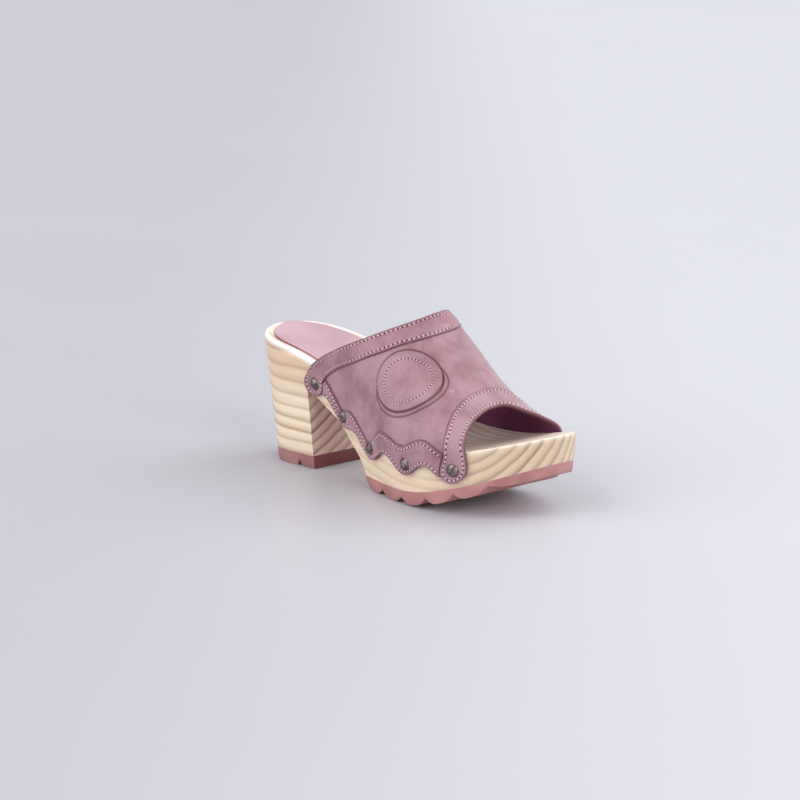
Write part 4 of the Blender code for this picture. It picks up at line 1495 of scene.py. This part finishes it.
def rubber(name, deep, pale, front_shade=None):
    """Matt crepe-like rubber, a little cloudy, with a fine pebble and perhaps painted shade on its front
    face.
    """
    m = Maker(name)
    cloud = m.noise(40, 3)
    specks = m.noise(900, 2)
    colour = m.mix(m.spread(cloud, 0.35, 0.65), deep, pale)
    if front_shade is not None:
        # Painted shade on the front face, under the heel's breast
        colour = m.mix(m.spread(m.apart(m.normal)["X"], 0.90, 0.98), colour, front_shade)
    colour = m.mix(m.spread(specks, 0.55, 0.8, 0.0, 0.2), colour, (120, 74, 76))
    return m.finish(colour, 0.55, m.bump(specks, 0.12, 0.5))


def metal():
    """Antique pewter, blotched darker and lighter."""
    m = Maker("antique nail metal")
    blot = m.noise(420, 3)
    dents = m.noise(170, 2)
    colour = m.mix(m.spread(blot, 0.4, 0.62), (98, 86, 85), (138, 126, 124))
    roughness = m.spread(blot, 0.35, 0.65, 0.52, 0.38)
    return m.finish(colour, roughness, m.bump(dents, 0.04, 0.2), Metallic=1.0)


def thread():
    """Waxed pale thread with a twist."""
    m = Maker("pale thread")
    twist = m.noise(2600, 2)
    colour = m.mix(m.spread(twist, 0.35, 0.65), (214, 180, 192), (248, 232, 236))
    return m.finish(colour, 0.6, m.bump(twist, 0.08, 0.6))


def floor_paper():
    """Pale studio floor with painted light: it grows a little brighter towards the toe's inner side."""
    m = Maker("pale floor")
    turn = np.radians(47.6)
    inputs = {0: m.place, 1: (np.cos(turn), np.sin(turn), 0)}
    aside = m.add("ShaderNodeVectorMath", inputs, operation="DOT_PRODUCT").outputs["Value"]
    tone = m.noise(3, 2)
    # Painted light: the floor is coloured brighter towards the right of the view, where more light falls
    colour = m.mix(m.spread(aside, -0.25, 0.30), (186, 185, 190), (211, 212, 218))
    colour = m.mix(m.spread(tone, 0.3, 0.7, 0.0, 0.1), colour, (200, 200, 206))
    return m.finish(colour, 0.42)


def make_materials():
    """Every material by a short name."""
    return {
        "vamp": leather("vamp nubuck", (168, 128, 137), (140, 98, 108), (92, 50, 60)),
        "strip": leather("strip nubuck", (168, 122, 133), (137, 92, 104), (92, 48, 60), 0.56),
        # Copies of the strip leather and cut edge, painted lighter for the toe strip's light
        "strip painted lighter": leather("toe nubuck painted lighter", (171, 132, 141), (145, 104, 114), (94, 52, 64), 0.56),
        "cut": plain_leather("cut edge", (158, 106, 118), (120, 72, 84), 0.7, 1400),
        "edge painted lighter": plain_leather("edge painted lighter", (170, 114, 122), (138, 84, 93), 0.7, 1400),
        "layer edge": plain_leather("layer edge", (104, 46, 62), (76, 32, 46), 0.7, 1400),
        "lining": plain_leather("lining", (134, 67, 110), (106, 50, 84), 0.75, 900),
        "pad": plain_leather("pad leather", (201, 168, 177), (185, 149, 159), 0.45, 1100),
        "wood": wood(),
        "rubber": rubber("pink rubber", (162, 108, 105), (183, 131, 126)),
        "heel rubber": rubber("darker pink rubber with painted front shade", (150, 100, 100), (172, 123, 121), (128, 66, 68)),
        "metal": metal(),
        "thread": thread(),
        "floor": floor_paper(),
    }


# Studio

# Distant soft lights: direction towards each, power, width in degrees
LIGHTS = {
    "left softbox": ((-0.25, -0.88, 0.60), 1.75, 65),
    "back softbox": ((0.35, 0.62, 0.78), 1.45, 60),
    "far card": ((0.25, 0.90, 0.30), 0.5, 50),
    "front card": ((0.88, -0.20, 0.42), 1.1, 30),
}
ROOM_LIGHT = 0.60
FLOOR_HALF = 12.0
FLOOR_BELOW = 0.0002

# Camera of the photograph
LOOKS_AT = (-0.00822, 0.0020, 0.05085)
AZIMUTH = 47.62
ELEVATION = 12.51
DISTANCE = 1.6256
LENS = 117.0
SENSOR = 36.0


def pointed(made, direction):
    """Turn a light or camera to face a direction."""
    made.rotation_mode = "QUATERNION"
    made.rotation_quaternion = direction.to_track_quat("-Z", "Y")


def build_studio(stuff):
    """Floor, soft lights, world and the camera of the photograph."""
    mesh = bpy.data.meshes.new("floor")
    corners = [(FLOOR_HALF * x, FLOOR_HALF * y, 0) for x, y in ((-1, -1), (1, -1), (1, 1), (-1, 1))]
    mesh.from_pydata(corners, [], [(0, 1, 2, 3)])
    mesh.materials.append(stuff["floor"])
    floor = linked("floor", mesh)
    floor.location.z = -FLOOR_BELOW

    world = bpy.data.worlds.new("soft room")
    bpy.context.scene.world = world
    world.use_nodes = True
    background = world.node_tree.nodes["Background"].inputs
    background["Color"].default_value = linear(232, 232, 240)
    background["Strength"].default_value = ROOM_LIGHT

    for name, (towards, power, width) in LIGHTS.items():
        sun = bpy.data.lights.new(name, "SUN")
        sun.energy = power
        sun.angle = np.radians(width)
        pointed(linked(name, sun), -Vector(towards))

    azimuth, elevation = np.radians([AZIMUTH, ELEVATION])
    flat = np.cos(elevation)
    back = Vector((np.sin(azimuth) * flat, -np.cos(azimuth) * flat, np.sin(elevation)))
    data = bpy.data.cameras.new("camera")
    data.sensor_width = SENSOR
    data.lens = LENS
    camera = linked("camera", data)
    camera.location = Vector(LOOKS_AT) + DISTANCE * back
    pointed(camera, -back)
    bpy.context.scene.camera = camera
    bpy.context.scene.view_settings.view_transform = "Standard"


stuff = make_materials()
build_studio(stuff)
build_wood(stuff)
build_rubber(stuff)
build_pad(stuff)
build_leather(stuff)
build_nails(stuff)
